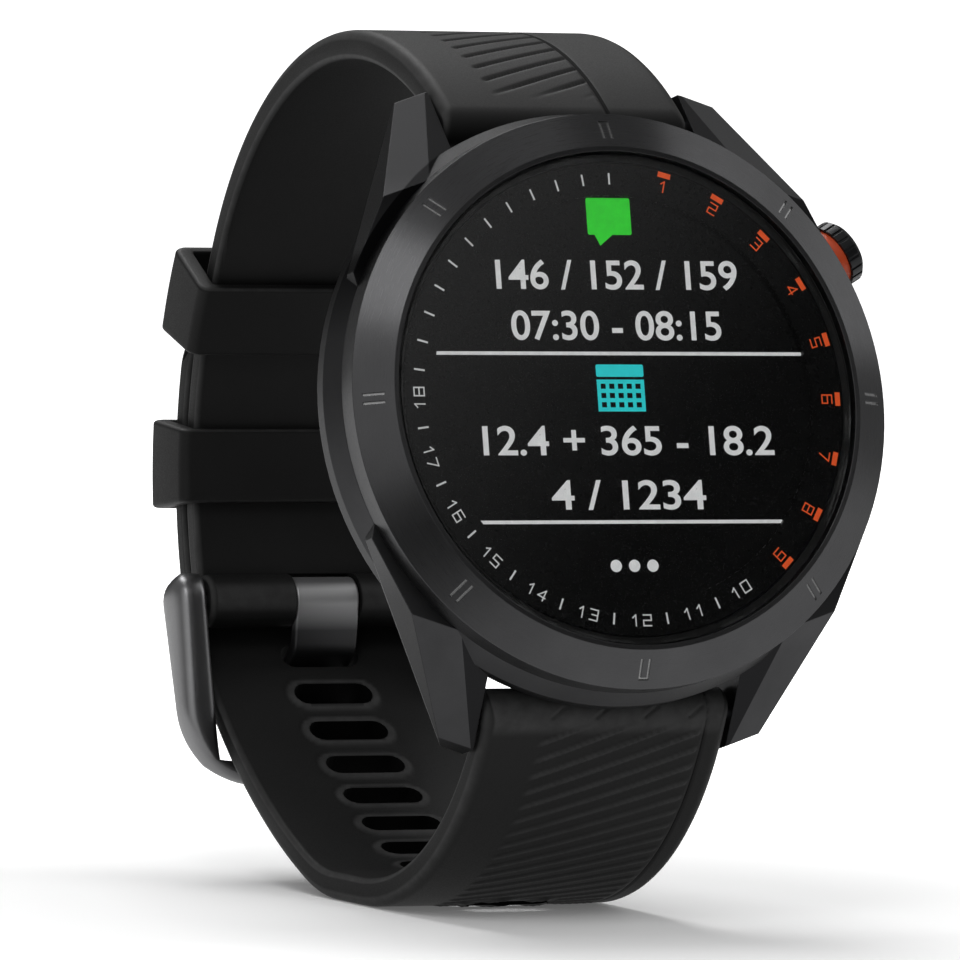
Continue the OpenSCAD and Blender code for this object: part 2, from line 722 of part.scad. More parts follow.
module case_seal() {
    color("#0d0d0d") head() tube(works_r + seat + seal_w, works_r + seat, cover_z - seal_t, cover_z);
}
module cover_screws() {
    under = cover_z - seal_t;
    color("#55585c") head() for (q = [45 : 90 : 315]) rotate([0, 0, q]) translate([screw_r, 0, 0]) difference() {
        union() {
            disc(screw_d / 2, under - screw_head_h / 2, cover_z + screw_l - seat);
            disc(screw_head_d / 2, under - screw_head_h, under);
        }
        translate([0, 0, under - screw_head_h - cut])
            linear_extrude(cut + screw_head_h / 2) circle(d = screw_d * 0.8, $fn = 6);
    }
}

// Button, measured along its axis from the dial's middle

ring_d = cap_d - 2 * cap_lap;
ring_low = cap_r - cap_t - ring_show;
well_low = ring_low - press - close;
spring_r = stem_d / 2 + button_wire / 2 + seat;
spring_low = well_low - spring_pocket;
// Depth of the flat that the clip stops against
spot = 0.1;
clip_high = works_r + spot - run;
clip_low = clip_high - clip_t;
stem_low = clip_low - 2 * seat;
seal_mid = (works_r + spring_low) / 2;
module button_cap() {
    side_r = cap_d / 2;
    rim_r = side_r - cap_chamfer;
    dish_r = rim_r - cap_rim;
    color("#141516") button_axis() difference() {
        rotate_extrude() polygon([[0, cap_r - cap_t], [side_r, cap_r - cap_t], [side_r, cap_r - cap_chamfer],
            [rim_r, cap_r], [dish_r, cap_r], [dish_r - cap_dish, cap_r - cap_dish], [0, cap_r - cap_dish]]);
        for (i = [1 : cap_grooves]) rotate([0, 0, 360 * i / cap_grooves])
            block([cap_groove, cap_groove, 2 * cap_t], [side_r, 0, cap_r - cap_t / 2]);
    }
}
module button_ring() {
    color("#d8441c") button_axis() tube(ring_d / 2, stem_d / 2, ring_low, cap_r - cap_t);
}
module button_stem() {
    color("#8d9094") button_axis() difference() {
        disc(stem_d / 2, stem_low, cap_r - cap_t);
        tube(stem_d, stem_d / 2 - groove, seal_mid - groove, seal_mid + groove);
        tube(stem_d, stem_d / 2 - groove, clip_low, clip_high);
    }
}
module button_seal() {
    color("#0d0d0d") button_axis() tube(stem_d / 2 + run / 2, stem_d / 2 - groove, seal_mid - groove, seal_mid + groove);
}
module button_clip() {
    color("#9a9da1") button_axis() difference() {
        tube(clip_d / 2, stem_d / 2 - groove, clip_low, clip_high);
        block([clip_d, stem_d * 0.5, clip_t * 4], [clip_d / 2, 0, clip_low]);
    }
}
module button_spring() {
    color("#a9acb0") button_axis() coil(spring_r, button_wire, spring_low, ring_low, 3);
}
module tact_switch() {
    face = stem_low - press - run;
    body = face - plunger_l;
    tall = 2 * button_drop;
    color("#3b3d40") button_axis() {
        block([tall, switch_w, switch_l], [0, 0, body - switch_l / 2]);
        disc(tall / 2 - slip, body, face);
    }
}

// Strap

module strap_body(path, t) {
    linear_extrude(strap_w, center = true) polygon(concat(face(path, 0), back_to_front(face(path, t))));
}
module along_x(at, r, l) {
    translate([at[0], at[1], -l / 2]) cylinder(h = l, r = r);
}
// Slot through the strap at pose p, square to its face
module strap_slot(p, t) {
    half = (slot_w - slot_l) / 2;
    translate([p[0], p[1], 0]) rotate([0, 0, p[2]]) rotate([0, 90, 0]) translate([0, 0, -t - cut])
        linear_extrude(t + 2 * cut) {
            square([2 * half, slot_l], center = true);
            for (side = [-1, 1]) translate([side * half, 0]) circle(d = slot_l);
        }
}
// Direction from a spring bar to the wrist, in degrees in the loop plane
function lever_q(at) = atan2(bend[1] - at[1], bend[0] - at[0]);
// Window in a rolled end for the release lever
module lever_window(at) {
    translate([at[0], at[1], 0]) rotate([0, 0, lever_q(at)]) block(
        [roll_d, lever_d + 4 * slip, release + lever_d + 4 * slip], [roll_d / 2, 0, release / 2 - lever_x]);
}
module roll_bore(at) {
    along_x(at, tube_d / 2 + run, strap_w + 2 * cut);
    lever_window(at);
}
module strap_upper() {
    notch_w = tang_w + 2 * slip;
    notch_low = -hub_r - upper_t / 4;
    notch_high = tang_eye_d / 2 + slip;
    color("#1b1c1d") loop() difference() {
        union() {
            strap_body(up_path, upper_t);
            along_x(roll_up, roll_r, strap_w);
            along_x(pin_at, hub_r, strap_w);
        }
        roll_bore(roll_up);
        along_x(pin_at, pin_d / 2 + run, strap_w + 2 * cut);
        translate([pin_at[0], pin_at[1], 0]) rotate([0, 0, -pin_angle])
            block([4 * hub_r, notch_high - notch_low, notch_w], [0, (notch_high + notch_low) / 2, 0]);
    }
}
// Waste outside the tail's rounded corners
module tail_corners() {
    translate([low_0[0], low_0[1], 0]) rotate([0, 0, tail_end]) rotate([0, 90, 0]) translate([0, 0, -2 * lower_t])
        linear_extrude(4 * lower_t) for (side = [0, 1]) mirror([side, 0]) translate([strap_w / 2 - tail_r, -tail_r])
            difference() {
                square(tail_r + cut);
                circle(r = tail_r);
            }
}
module strap_lower() {
    color("#1b1c1d") loop() difference() {
        union() {
            strap_body(low_path, lower_t);
            along_x(roll_down, roll_r, strap_w);
        }
        roll_bore(roll_down);
        tail_corners();
        for (k = [-slots_tail : slots_lug]) strap_slot(along(slot_from + k * slot_pitch), lower_t);
    }
}

// Spring bars, each with a fixed pin on the right and a release pin on the left

bar_half = strap_w / 2 - bar_short;
lever_x = strap_w / 2 - lever_in;
tip_end = lug_x + tip_reach;
bore_r = tip_d / 2 + run;
module lever_slot(at) {
    translate([at[0], at[1], 0]) rotate([0, 0, lever_q(at)])
        block([tube_d, lever_d + 2 * slip, release + lever_d + 2 * slip], [tube_d / 2, 0, release / 2 - lever_x]);
}
module spring_bar(at) {
    color("#8b8e92") loop() difference() {
        union() {
            along_x(at, tube_d / 2, 2 * bar_half);
            translate([at[0], at[1], 0]) disc(tip_d / 2, 0, tip_end);
        }
        translate([at[0], at[1], 0]) disc(bore_r, -bar_half - cut, bore_end);
        lever_slot(at);
    }
}
module release_pin(at) {
    lever_l = roll_r + lever_out;
    color("#9a9da1") loop() translate([at[0], at[1], 0]) {
        disc(tip_d / 2, -tip_end, -pin_in);
        rotate([0, 0, lever_q(at)]) translate([0, 0, -lever_x]) rotate([0, 90, 0]) disc(lever_d / 2, 0, lever_l);
    }
}
module release_spring(at) {
    color("#a9acb0") loop() translate([at[0], at[1], 0])
        coil(bore_r - run / 2 - bar_wire / 2, bar_wire, -pin_in, bore_end, 10, 8);
}
module spring_bar_upper() {
    spring_bar(roll_up);
}
module spring_bar_lower() {
    spring_bar(roll_down);
}
module release_pin_upper() {
    release_pin(roll_up);
}
module release_pin_lower() {
    release_pin(roll_down);
}
module release_spring_upper() {
    release_spring(roll_up);
}
module release_spring_lower() {
    release_spring(roll_down);
}

// Keepers and buckle

module round_box(low, high, half, r) {
    translate([low + r, -half]) square([high - low - 2 * r, 2 * half]);
    translate([low, r - half]) square([high - low, 2 * half - 2 * r]);
    for (x = [low + r, high - r]) for (y = [r - half, half - r]) translate([x, y]) circle(r = r);
}
module keeper(mid) {
    low = bend_r - slip;
    high = lower_r + slip;
    half = strap_w / 2 + slip;
    color("#151617") loop() translate([bend[0], bend[1], 0]) rotate([0, 0, mid - keeper_turn / 2])
        rotate_extrude(angle = keeper_turn) difference() {
            round_box(low - keeper_wall, high + keeper_wall, half + keeper_side, keeper_round);
            translate([low, -half]) square([high - low, 2 * half]);
        }
}
module keeper_upper() {
    keeper(keeper_top);
}
module keeper_lower() {
    keeper(keeper_low);
}

// Frame coordinates: first axis from the pin to the end bar, second outwards, third along x
frame_q = -90 - frame_lean;
arm_in = strap_w / 2 + 2 * slip;
arm_out = arm_in + arm_w;
pin_half = arm_in + arm_w * pin_share;
module frame_at() {
    loop() translate([pin_at[0], pin_at[1], 0]) rotate([0, 0, frame_q]) children();
}
module d_shape(l, half, r, back) {
    translate([-back, -half]) square([l - r + back, 2 * half]);
    translate([-back, r - half]) square([l + back, 2 * half - 2 * r]);
    for (side = [-1, 1]) translate([l - r, side * (half - r)]) circle(r = r);
}
module buckle_frame() {
    color("#3a3b3e") frame_at() difference() {
        intersection() {
            rotate([90, 0, 0]) linear_extrude(4 * frame_t, center = true) d_shape(frame_l, arm_out, frame_r, eye_d);
            translate([0, 0, -arm_out - cut]) linear_extrude(2 * arm_out + 2 * cut) {
                circle(d = eye_d);
                polygon([[0, -eye_d / 2], [frame_l - end_w, -frame_t / 2], [frame_l, -frame_t * end_share / 2],
                    [frame_l, frame_t * end_share / 2], [frame_l - end_w, frame_t / 2], [0, eye_d / 2]]);
            }
        }
        rotate([90, 0, 0]) linear_extrude(5 * frame_t, center = true)
            d_shape(frame_l - end_w, arm_in, arm_in - strap_w / 2, 2 * eye_d);
        translate([0, 0, -pin_half - run]) cylinder(h = 2 * (pin_half + run), r = pin_d / 2 + run);
    }
}
// Flat strip of width w and thickness t, bent at the points of the loop plane
function across(a, b) = let (d = (b - a) / norm(b - a)) [-d[1], d[0]];
function mitre(p, i) = let (
    a = across(p[max(i - 1, 0)], p[max(i, 1)]),
    b = across(p[min(i, len(p) - 2)], p[min(i + 1, len(p) - 1)]))
    (a + b) / (1 + a * b);
module bent_strip(points, t, w) {
    one_side = [for (i = [0 : len(points) - 1]) points[i] + t / 2 * mitre(points, i)];
    other_side = [for (i = [0 : len(points) - 1]) points[i] - t / 2 * mitre(points, i)];
    linear_extrude(w, center = true) polygon(concat(one_side, back_to_front(other_side)));
}
module buckle_tang() {
    out = -inward(tang_slot);
    face = [tang_slot[0], tang_slot[1]];
    eye_r = tang_eye_d / 2;
    start = pin_at - (eye_r - tang_t / 2 - close) * [cos(frame_lean), sin(frame_lean)];
    along_frame = [cos(frame_q), sin(frame_q)];
    off_frame = [-along_frame[1], along_frame[0]];
    rest = pin_at + (frame_l - end_w / 4) * along_frame + (frame_t / 2 + seat + tang_t / 2) * off_frame;
    color("#3a3b3e") loop() difference() {
        union() {
            along_x(pin_at, eye_r, tang_w);
            bent_strip([start, face - (lower_t + tang_t) * out, face + tang_t * out, rest], tang_t, tang_w);
        }
        along_x(pin_at, pin_d / 2 + run, tang_w + 2 * cut);
    }
}
module buckle_pin() {
    color("#8b8e92") loop() along_x(pin_at, pin_d / 2, 2 * pin_half);
}

case();
bezel();
lens();
lens_gasket();
chapter_ring();
display_panel();
display_frame();
display_flex();
antenna_ring();
main_board();
shield_can();
battery();
motor_can();
motor_rotor();
contact_block();
charging_contacts();
contact_insert();
rear_cover();
case_seal();
cover_screws();
button_cap();
button_ring();
button_stem();
button_seal();
button_clip();
button_spring();
tact_switch();
strap_upper();
strap_lower();
spring_bar_upper();
spring_bar_lower();
release_pin_upper();
release_pin_lower();
release_spring_upper();
release_spring_lower();
keeper_upper();
keeper_lower();
buckle_frame();
buckle_tang();
buckle_pin();
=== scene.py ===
"""Looks of a golf GPS watch on its buckled strap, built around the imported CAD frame.

Lengths below are millimetres unless a name says otherwise, and metres in the scene.
Head frame: x to 3 o'clock, y to 12 o'clock, z out of the dial.
Loop plane of the strap: first axis to the rear of the dial, second to 12 o'clock.
"""
import math

import bmesh
import bpy
import numpy as np
from mathutils import Matrix, Quaternion, Vector

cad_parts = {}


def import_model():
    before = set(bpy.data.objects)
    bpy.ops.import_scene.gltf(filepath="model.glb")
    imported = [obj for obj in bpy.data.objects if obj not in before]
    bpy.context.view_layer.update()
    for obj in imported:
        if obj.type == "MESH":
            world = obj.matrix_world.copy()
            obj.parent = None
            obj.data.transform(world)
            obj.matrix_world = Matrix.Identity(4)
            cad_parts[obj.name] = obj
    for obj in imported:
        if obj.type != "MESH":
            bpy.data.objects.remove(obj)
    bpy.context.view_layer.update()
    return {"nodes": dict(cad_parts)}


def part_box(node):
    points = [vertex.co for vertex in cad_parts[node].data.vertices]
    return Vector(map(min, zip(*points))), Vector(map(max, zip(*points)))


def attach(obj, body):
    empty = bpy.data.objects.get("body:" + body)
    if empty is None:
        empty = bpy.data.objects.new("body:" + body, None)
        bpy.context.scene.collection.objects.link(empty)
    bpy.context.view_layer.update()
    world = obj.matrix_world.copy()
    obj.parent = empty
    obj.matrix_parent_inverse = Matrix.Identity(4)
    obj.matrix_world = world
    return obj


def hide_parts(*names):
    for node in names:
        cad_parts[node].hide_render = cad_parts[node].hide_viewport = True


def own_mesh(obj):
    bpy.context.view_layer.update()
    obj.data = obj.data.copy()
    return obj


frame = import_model()
nodes = frame["nodes"]

MM = 0.001
ROOT = "watch"

# Head frame, placed by the chapter ring, whose middle lies under the dial's origin
LEAN = 12.5
TILT = math.radians(LEAN)
RING_MIDDLE = -0.5
HEAD_AXES = Matrix((
    (1, 0, 0),
    (0, math.sin(TILT), -math.cos(TILT)),
    (0, math.cos(TILT), math.sin(TILT)),
))
ring_low, ring_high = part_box("chapter_ring")
HEAD_ORIGIN = (ring_low + ring_high) / 2 - HEAD_AXES @ Vector((0, 0, RING_MIDDLE * MM))
HEAD = Matrix.Translation(HEAD_ORIGIN) @ HEAD_AXES.to_4x4()
DIAL_NORMAL = HEAD_AXES @ Vector((0, 0, 1))

# Clearances
CLOSE = 0.1
SLIP = 0.2

# Strap: two halves round one bend, each with a rolled end at the case
STRAP_W = 19.3
UPPER_T = 2.2
LOWER_T = 2.1
BEND = np.array([30.0, -0.5])
BEND_R = 28.0
UPPER_R = BEND_R + UPPER_T
LOWER_R = UPPER_R + CLOSE + LOWER_T
ROLL_R = 1.9
ROLL_UP = np.array([8.4, 21.6])
ROLL_DOWN = np.array([8.4, -21.6])
FACE_R = ROLL_R - CLOSE
PIN_ANGLE = 10.3
PIN_BORE = 0.8
HUB_R = 2.05
EYE_R = 1.95
EDGE_OUT = 0.8
EDGE_IN = 0.45
EDGE_ROLL = 0.45
TAIL_R = 6.0
# Length of the tail's tip as a share of a round one
TAIL_BLUNT = 0.5

# Arcs of the outer faces: the upper half from the pin up, the lower half from its tail down
BEND_TOP = 30
EASE_R = 50
EASE_TURN = 10
TAIL_END = 35.5
DIP_START = 7.75
DIP_R = 17.205
DIP_TURN = 24.5
SLOT_R = 55
SLOT_TURN = 26
HEEL_R = 16
HEEL_TURN = 90 - LEAN - DIP_START - DIP_TURN - SLOT_TURN
FLAT_L = 5

# Slots, counted from the one that the tang goes through
SLOT_W = 6.4
SLOT_L = 2.1
SLOT_PITCH = 4.2
SLOT_BACK = 1.2
SLOTS = range(-5, 11)
# The slot behind the hub, and the distance that its lower edge is lifted to stay hidden there
HUB_SLOT = -1
HUB_LIFT = 0.4
# Width of the notch for the tang in the hub
TANG_NOTCH = 5.36

# Vectors


def at_head(x, y, z):
    """A point of the head frame in the scene."""
    return HEAD @ Vector((x * MM, y * MM, z * MM))


def at_loop(x, spot):
    """A point in the scene, at x across the strap from a spot of the loop plane."""
    return at_head(x, spot[1], -spot[0])


def unit(v):
    return v / np.linalg.norm(v)


def quarter(v):
    """The vector turned left by a quarter."""
    return np.array([-v[1], v[0]])


def out_of(q):
    """The direction at an angle in degrees."""
    return np.array([math.cos(math.radians(q)), math.sin(math.radians(q))])


def clock(angle):
    """Outward and clockwise directions at a clock angle in degrees."""
    a = math.radians(angle)
    return np.array([math.sin(a), math.cos(a)]), np.array([math.cos(a), -math.sin(a)])


def smoothstep(t):
    t = np.clip(t, 0, 1)
    return t * t * (3 - 2 * t)


def blend(start, end, share):
    return start + (end - start) * float(smoothstep(share))


# Shader nodes


def add(tree, kind, inputs=None, **settings):
    """A shader node with its settings; inputs are values or sockets to link."""
    node = tree.nodes.new("ShaderNode" + kind)
    for key, value in settings.items():
        setattr(node, key, value)
    for key, value in (inputs or {}).items():
        if isinstance(value, bpy.types.NodeSocket):
            tree.links.new(value, node.inputs[key])
        else:
            node.inputs[key].default_value = value
    return node


def rgb(code):
    """Linear colour from a written sRGB code such as 2b2c2e."""
    parts = [int(code[i:i + 2], 16) / 255 for i in (0, 2, 4)]
    linear = [p / 12.92 if p <= 0.04045 else ((p + 0.055) / 1.055) ** 2.4 for p in parts]
    return (*linear, 1.0)


def grey(level):
    return (level, level, level, 1)


def new_tree(name):
    material = bpy.data.materials.new(name)
    material.use_nodes = True
    tree = material.node_tree
    tree.nodes.clear()
    return material, tree


def calculate(tree, operation, *values):
    return add(tree, "Math", dict(enumerate(values)), operation=operation).outputs[0]


def product(tree, *values):
    result = values[0]
    for value in values[1:]:
        result = calculate(tree, "MULTIPLY", result, value)
    return result


def dot(tree, vector, way):
    return add(tree, "VectorMath", {0: vector, 1: way}, operation="DOT_PRODUCT").outputs["Value"]


def length_of(tree, vector):
    return add(tree, "VectorMath", {0: vector}, operation="LENGTH").outputs["Value"]


def split(tree, vector):
    """Sockets of the vector's X, Y and Z."""
    return add(tree, "SeparateXYZ", {0: vector}).outputs


def object_place(tree):
    return add(tree, "TexCoord").outputs["Object"]


def head_place(tree):
    """Shader coordinates in the head frame, in metres."""
    inputs = {"Vector": object_place(tree), "Location": HEAD_ORIGIN, "Rotation": HEAD_AXES.to_euler()}
    return add(tree, "Mapping", inputs, vector_type="TEXTURE").outputs[0]


def from_axis(tree, parts):
    """The vector from the dial's axis to a place of the head frame."""
    return add(tree, "CombineXYZ", {"X": parts["X"], "Y": parts["Y"]}).outputs[0]


def noise(tree, vector, scale, detail=3.0, rough=0.55):
    """Grey noise; scale is in features per millimetre."""
    inputs = {"Vector": vector, "Scale": scale / MM, "Detail": detail, "Roughness": rough}
    return add(tree, "TexNoise", inputs).outputs["Fac"]


def spread(tree, value, low, high, start=0.3, end=0.7):
    """Runs from low to high as the value goes from start to end."""
    inputs = {"Value": value, "From Min": start, "From Max": end, "To Min": low, "To Max": high}
    return add(tree, "MapRange", inputs).outputs["Result"]


def ramp(tree, value, span, low=0, high=1):
    """Runs from low to high as a length crosses a span of millimetres."""
    return spread(tree, value, low, high, span[0] * MM, span[1] * MM)


def mix_colour(tree, factor, a, b):
    return add(tree, "Mix", {0: factor, 6: a, 7: b}, data_type="RGBA").outputs[2]


def two_tone(tree, place, patch, detail, dark, light):
    """Two colours in soft patches."""
    return mix_colour(tree, spread(tree, noise(tree, place, patch, detail), 0, 1), rgb(dark), rgb(light))


def bump(tree, height, distance, strength, normal=None):
    inputs = {"Height": height, "Distance": distance * MM, "Strength": strength}
    if normal is not None:
        inputs["Normal"] = normal
    return add(tree, "Bump", inputs).outputs["Normal"]


def rounded_normal(tree, radius):
    """The normal as if sharp edges were rounded to a radius."""
    return add(tree, "Bevel", {"Radius": radius * MM}, samples=6).outputs[0]


def principled(tree, inputs):
    shader = add(tree, "BsdfPrincipled", inputs)
    add(tree, "OutputMaterial", {"Surface": shader.outputs[0]})


# Zones of the tang's painted shade and painted highlight in the head frame, each the span over which it
# comes in or goes out
TANG_SHADE_Y = (-9.5, -7.0)
TANG_FRONT_Z = (-58.0, -57.0)
TANG_HIGHLIGHT_Y = (-8.0, -5.2)
TANG_EYE_Y = (-4.9, -4.3)
# Zones of the case's painted shade and light, and of its darker lug faces, likewise
UPPER_HALF_Y = (6, 18)
UPPER_LUG_Y = (14, 17)
LUG_SIDES_X = (-3, 3)
STRIP_FAR_Y = (15, 16)
FLANK_FAR_Y = (11, 14)
FLARE_R = (21.72, 21.8)
FLARE_Y = (5, 10)
# Cosines of a face's direction, outwards from the lug or towards the dial's front
INWARD_COS = (-0.1, -0.04)
FLANK_COS = (0.5, 0.7)
FRONT_COS = (0.3, 0.5)
# Share of the glare at a flat angle that is left on the flare
FLARE_TINT = 0.75


def tang_shade(tree, tone):
    """Painted shade towards the slot, and a painted highlight on the front of the tang's eye."""
    parts = split(tree, head_place(tree))
    up = parts["Y"]
    # Painted shade: darker towards the slot
    shaded = mix_colour(tree, ramp(tree, up, TANG_SHADE_Y), rgb("1c1c1d"), tone)
    # Painted highlight: a pale band on the front of the tang's eye
    highlight = product(tree, ramp(tree, parts["Z"], TANG_FRONT_Z), ramp(tree, up, TANG_HIGHLIGHT_Y),
                     ramp(tree, up, TANG_EYE_Y, 1, 0.3))
    return mix_colour(tree, highlight, shaded, rgb("b8b8b9"))


def flare_mask(tree):
    """1 within the case's round towards 12 o'clock, where its flare shows past the bezel."""
    parts = split(tree, head_place(tree))
    radius = length_of(tree, from_axis(tree, parts))
    return product(tree, ramp(tree, radius, FLARE_R, 1, 0), ramp(tree, parts["Y"], FLARE_Y))


def case_tint(tree):
    """Less glare at a flat angle on that flare."""
    return mix_colour(tree, flare_mask(tree), grey(1), grey(FLARE_TINT))


def case_shade(tree, tone):
    """Painted shade up the case and on its flare, painted shade and light across the upper lugs, and
    darker faces on the lugs beside their front strips.
    """
    parts = split(tree, head_place(tree))
    up = parts["Y"]
    # Painted shade: darker towards 12 o'clock
    tone = mix_colour(tree, ramp(tree, up, UPPER_HALF_Y), tone, rgb("2c2c2d"))
    # Painted shade on the upper lugs towards 9 o'clock, painted light towards 3 o'clock
    lug = mix_colour(tree, ramp(tree, parts["X"], LUG_SIDES_X), rgb("232324"), rgb("454546"))
    tone = mix_colour(tree, ramp(tree, up, UPPER_LUG_Y), tone, lug)
    normal = add(tree, "NewGeometry").outputs["Normal"]
    outward = product(tree, split(tree, normal)["X"], calculate(tree, "SIGN", parts["X"]))
    far = calculate(tree, "ABSOLUTE", up)
    front = dot(tree, normal, DIAL_NORMAL)
    bevel = product(tree, spread(tree, outward, 1, 0, *INWARD_COS), ramp(tree, far, STRIP_FAR_Y),
                    spread(tree, front, 0, 1, *FRONT_COS))
    tone = mix_colour(tree, bevel, tone, rgb("222223"))
    flank = product(tree, spread(tree, outward, 0, 1, *FLANK_COS), ramp(tree, far, FLANK_FAR_Y))
    tone = mix_colour(tree, flank, tone, rgb("262627"))
    # Painted shade on the flare past the bezel
    return mix_colour(tree, flare_mask(tree), tone, rgb("111112"))


def finish(name, dark, light, rough, grain, relief, metal=0.0, round_edge=0.0, specular=0.5,
           shading=None, tint=None):
    """A procedural finish with wear: two tones in patches, grain in the relief and in the gloss."""
    material, tree = new_tree(name)
    place = object_place(tree)
    fine = noise(tree, place, grain, 2.0)
    normal = rounded_normal(tree, round_edge) if round_edge else None
    tone = two_tone(tree, place, 0.15, 4.0, dark, light)
    inputs = {
        "Base Color": shading(tree, tone) if shading else tone,
        "Roughness": spread(tree, fine, *rough),
        "Normal": bump(tree, fine, relief, 0.6, normal),
        "Metallic": metal,
        "Specular IOR Level": specular}
    if tint:
        inputs["Specular Tint"] = tint(tree)
    principled(tree, inputs)
    return material


# Bezel's cone, from the lip to the rim
LIP_Z = 0.75
BEVEL_FROM = 18.35
BEVEL_W = 2.65
BEVEL_DROP = 1.45
RIM_R = BEVEL_FROM + BEVEL_W
RIM_Z = LIP_Z - BEVEL_DROP
FALL = BEVEL_DROP / BEVEL_W
# Engraved marks: depth at which their pale floor shows, and radii at which they start and stop
MARK_DEPTH = (0.03, 0.07)
MARK_IN = (BEVEL_FROM + 0.2, BEVEL_FROM + 0.25)
MARK_OUT = (RIM_R - 0.25, RIM_R - 0.2)
# Painted shade on the wall under the rim, towards 12 o'clock
WALL_Z = (RIM_Z - 0.15, RIM_Z - 0.05)
WALL_Y = (9, 13)
# Length round the dial, in millimetres per radian, that counts in the turned streaks
STREAK_TURN = 0.4


def turned_metal(name, dark, light, rough, streak, round_edge, anisotropy):
    """Metal turned on a lathe round the dial's axis: fine rings that spread the light outwards."""
    material, tree = new_tree(name)
    place = head_place(tree)
    parts = split(tree, place)
    flat = from_axis(tree, parts)
    radius = length_of(tree, flat)
    turn = product(tree, calculate(tree, "ARCTAN2", parts["Y"], parts["X"]), STREAK_TURN * MM)
    rings_at = add(tree, "CombineXYZ", {"X": radius, "Y": turn, "Z": parts["Z"]}).outputs[0]
    rings = noise(tree, rings_at, streak, 3.0, 0.7)
    out_x = add(tree, "VectorMath", {0: flat}, operation="NORMALIZE").outputs[0]
    radial = add(tree, "VectorRotate", {"Vector": out_x, "Angle": math.radians(90) - TILT},
                 rotation_type="X_AXIS").outputs[0]
    share = calculate(tree, "ADD", rings, noise(tree, place, 0.2, 4.0))
    tone = mix_colour(tree, spread(tree, share, 0, 1, 0.7, 1.3), rgb(dark), rgb(light))
    # Painted shade: the wall under the rim darker towards 12 o'clock
    wall = product(tree, ramp(tree, parts["Z"], WALL_Z, 1, 0), ramp(tree, parts["Y"], WALL_Y))
    tone = mix_colour(tree, wall, tone, rgb("222223"))
    cone = calculate(tree, "MULTIPLY_ADD", radius, -FALL, (LIP_Z + FALL * BEVEL_FROM) * MM)
    depth = calculate(tree, "SUBTRACT", cone, parts["Z"])
    mark = product(tree, ramp(tree, depth, MARK_DEPTH), ramp(tree, radius, MARK_IN),
                   ramp(tree, radius, MARK_OUT, 1, 0))
    principled(tree, {
        "Base Color": mix_colour(tree, mark, tone, rgb("8c8c8c")),
        "Metallic": 1.0,
        "Roughness": spread(tree, rings, *rough),
        "Anisotropic": anisotropy,
        "Tangent": radial,
        "Normal": bump(tree, rings, 0.001, 0.4, rounded_normal(tree, round_edge))})
    return material


def rubber(name, dark, light, rim):
    """Matt silicone: a pale painted highlight on edges and raised detail, fine moulded grain."""
    material, tree = new_tree(name)
    place = object_place(tree)
    fine = noise(tree, place, 9.0, 2.0)
    body = two_tone(tree, place, 0.12, 5.0, dark, light)
    # Painted highlight: the rim colour where the mesh attribute asks for it
    painted_light = add(tree, "Attribute", attribute_name="painted_light").outputs["Fac"]
    share = product(tree, painted_light, spread(tree, noise(tree, place, 0.8, 4.0), 0.55, 1.0))
    principled(tree, {
        "Base Color": mix_colour(tree, share, body, rgb(rim)),
        "Roughness": spread(tree, fine, 0.5, 0.64),
        "Specular IOR Level": 0.2,
        "Normal": bump(tree, fine, 0.006, 0.5)})
    return material


def glowing(name, colour, strength):
    """A lit symbol behind the glass, or print given a glow as painted light, a little uneven."""
    material, tree = new_tree(name)
    cloud = spread(tree, noise(tree, object_place(tree), 1.6), 0.88, 1.0)
    tone = mix_colour(tree, cloud, grey(0), rgb(colour))
    principled(tree, {
        "Base Color": tone, "Roughness": 0.5, "Emission Color": tone, "Emission Strength": strength})
    return material


def glass(name):
    """Clear glass with faint smears."""
    material, tree = new_tree(name)
    smear = spread(tree, noise(tree, object_place(tree), 0.1), 0.0, 0.03)
    principled(tree, {
        "Base Color": (0.94, 0.95, 0.95, 1),
        "Roughness": smear,
        "Transmission Weight": 1.0,
        "IOR": 1.45})
    return material


def board(name):
    """Green board with copper lines under the lacquer."""
    material, tree = new_tree(name)
    place = head_place(tree)
    grid = add(tree, "TexBrick", {
        "Vector": place, "Color1": rgb("0f4a2a"), "Color2": rgb("12552f"), "Mortar": rgb("2c7a45"),
        "Scale": 0.45 / MM, "Mortar Size": 0.03})
    principled(tree, {
        "Base Color": grid.outputs["Color"],
        "Roughness": spread(tree, noise(tree, place, 5.0, 2.0), 0.3, 0.45),
        "Normal": bump(tree, grid.outputs["Fac"], 0.02, 0.5)})
    return material


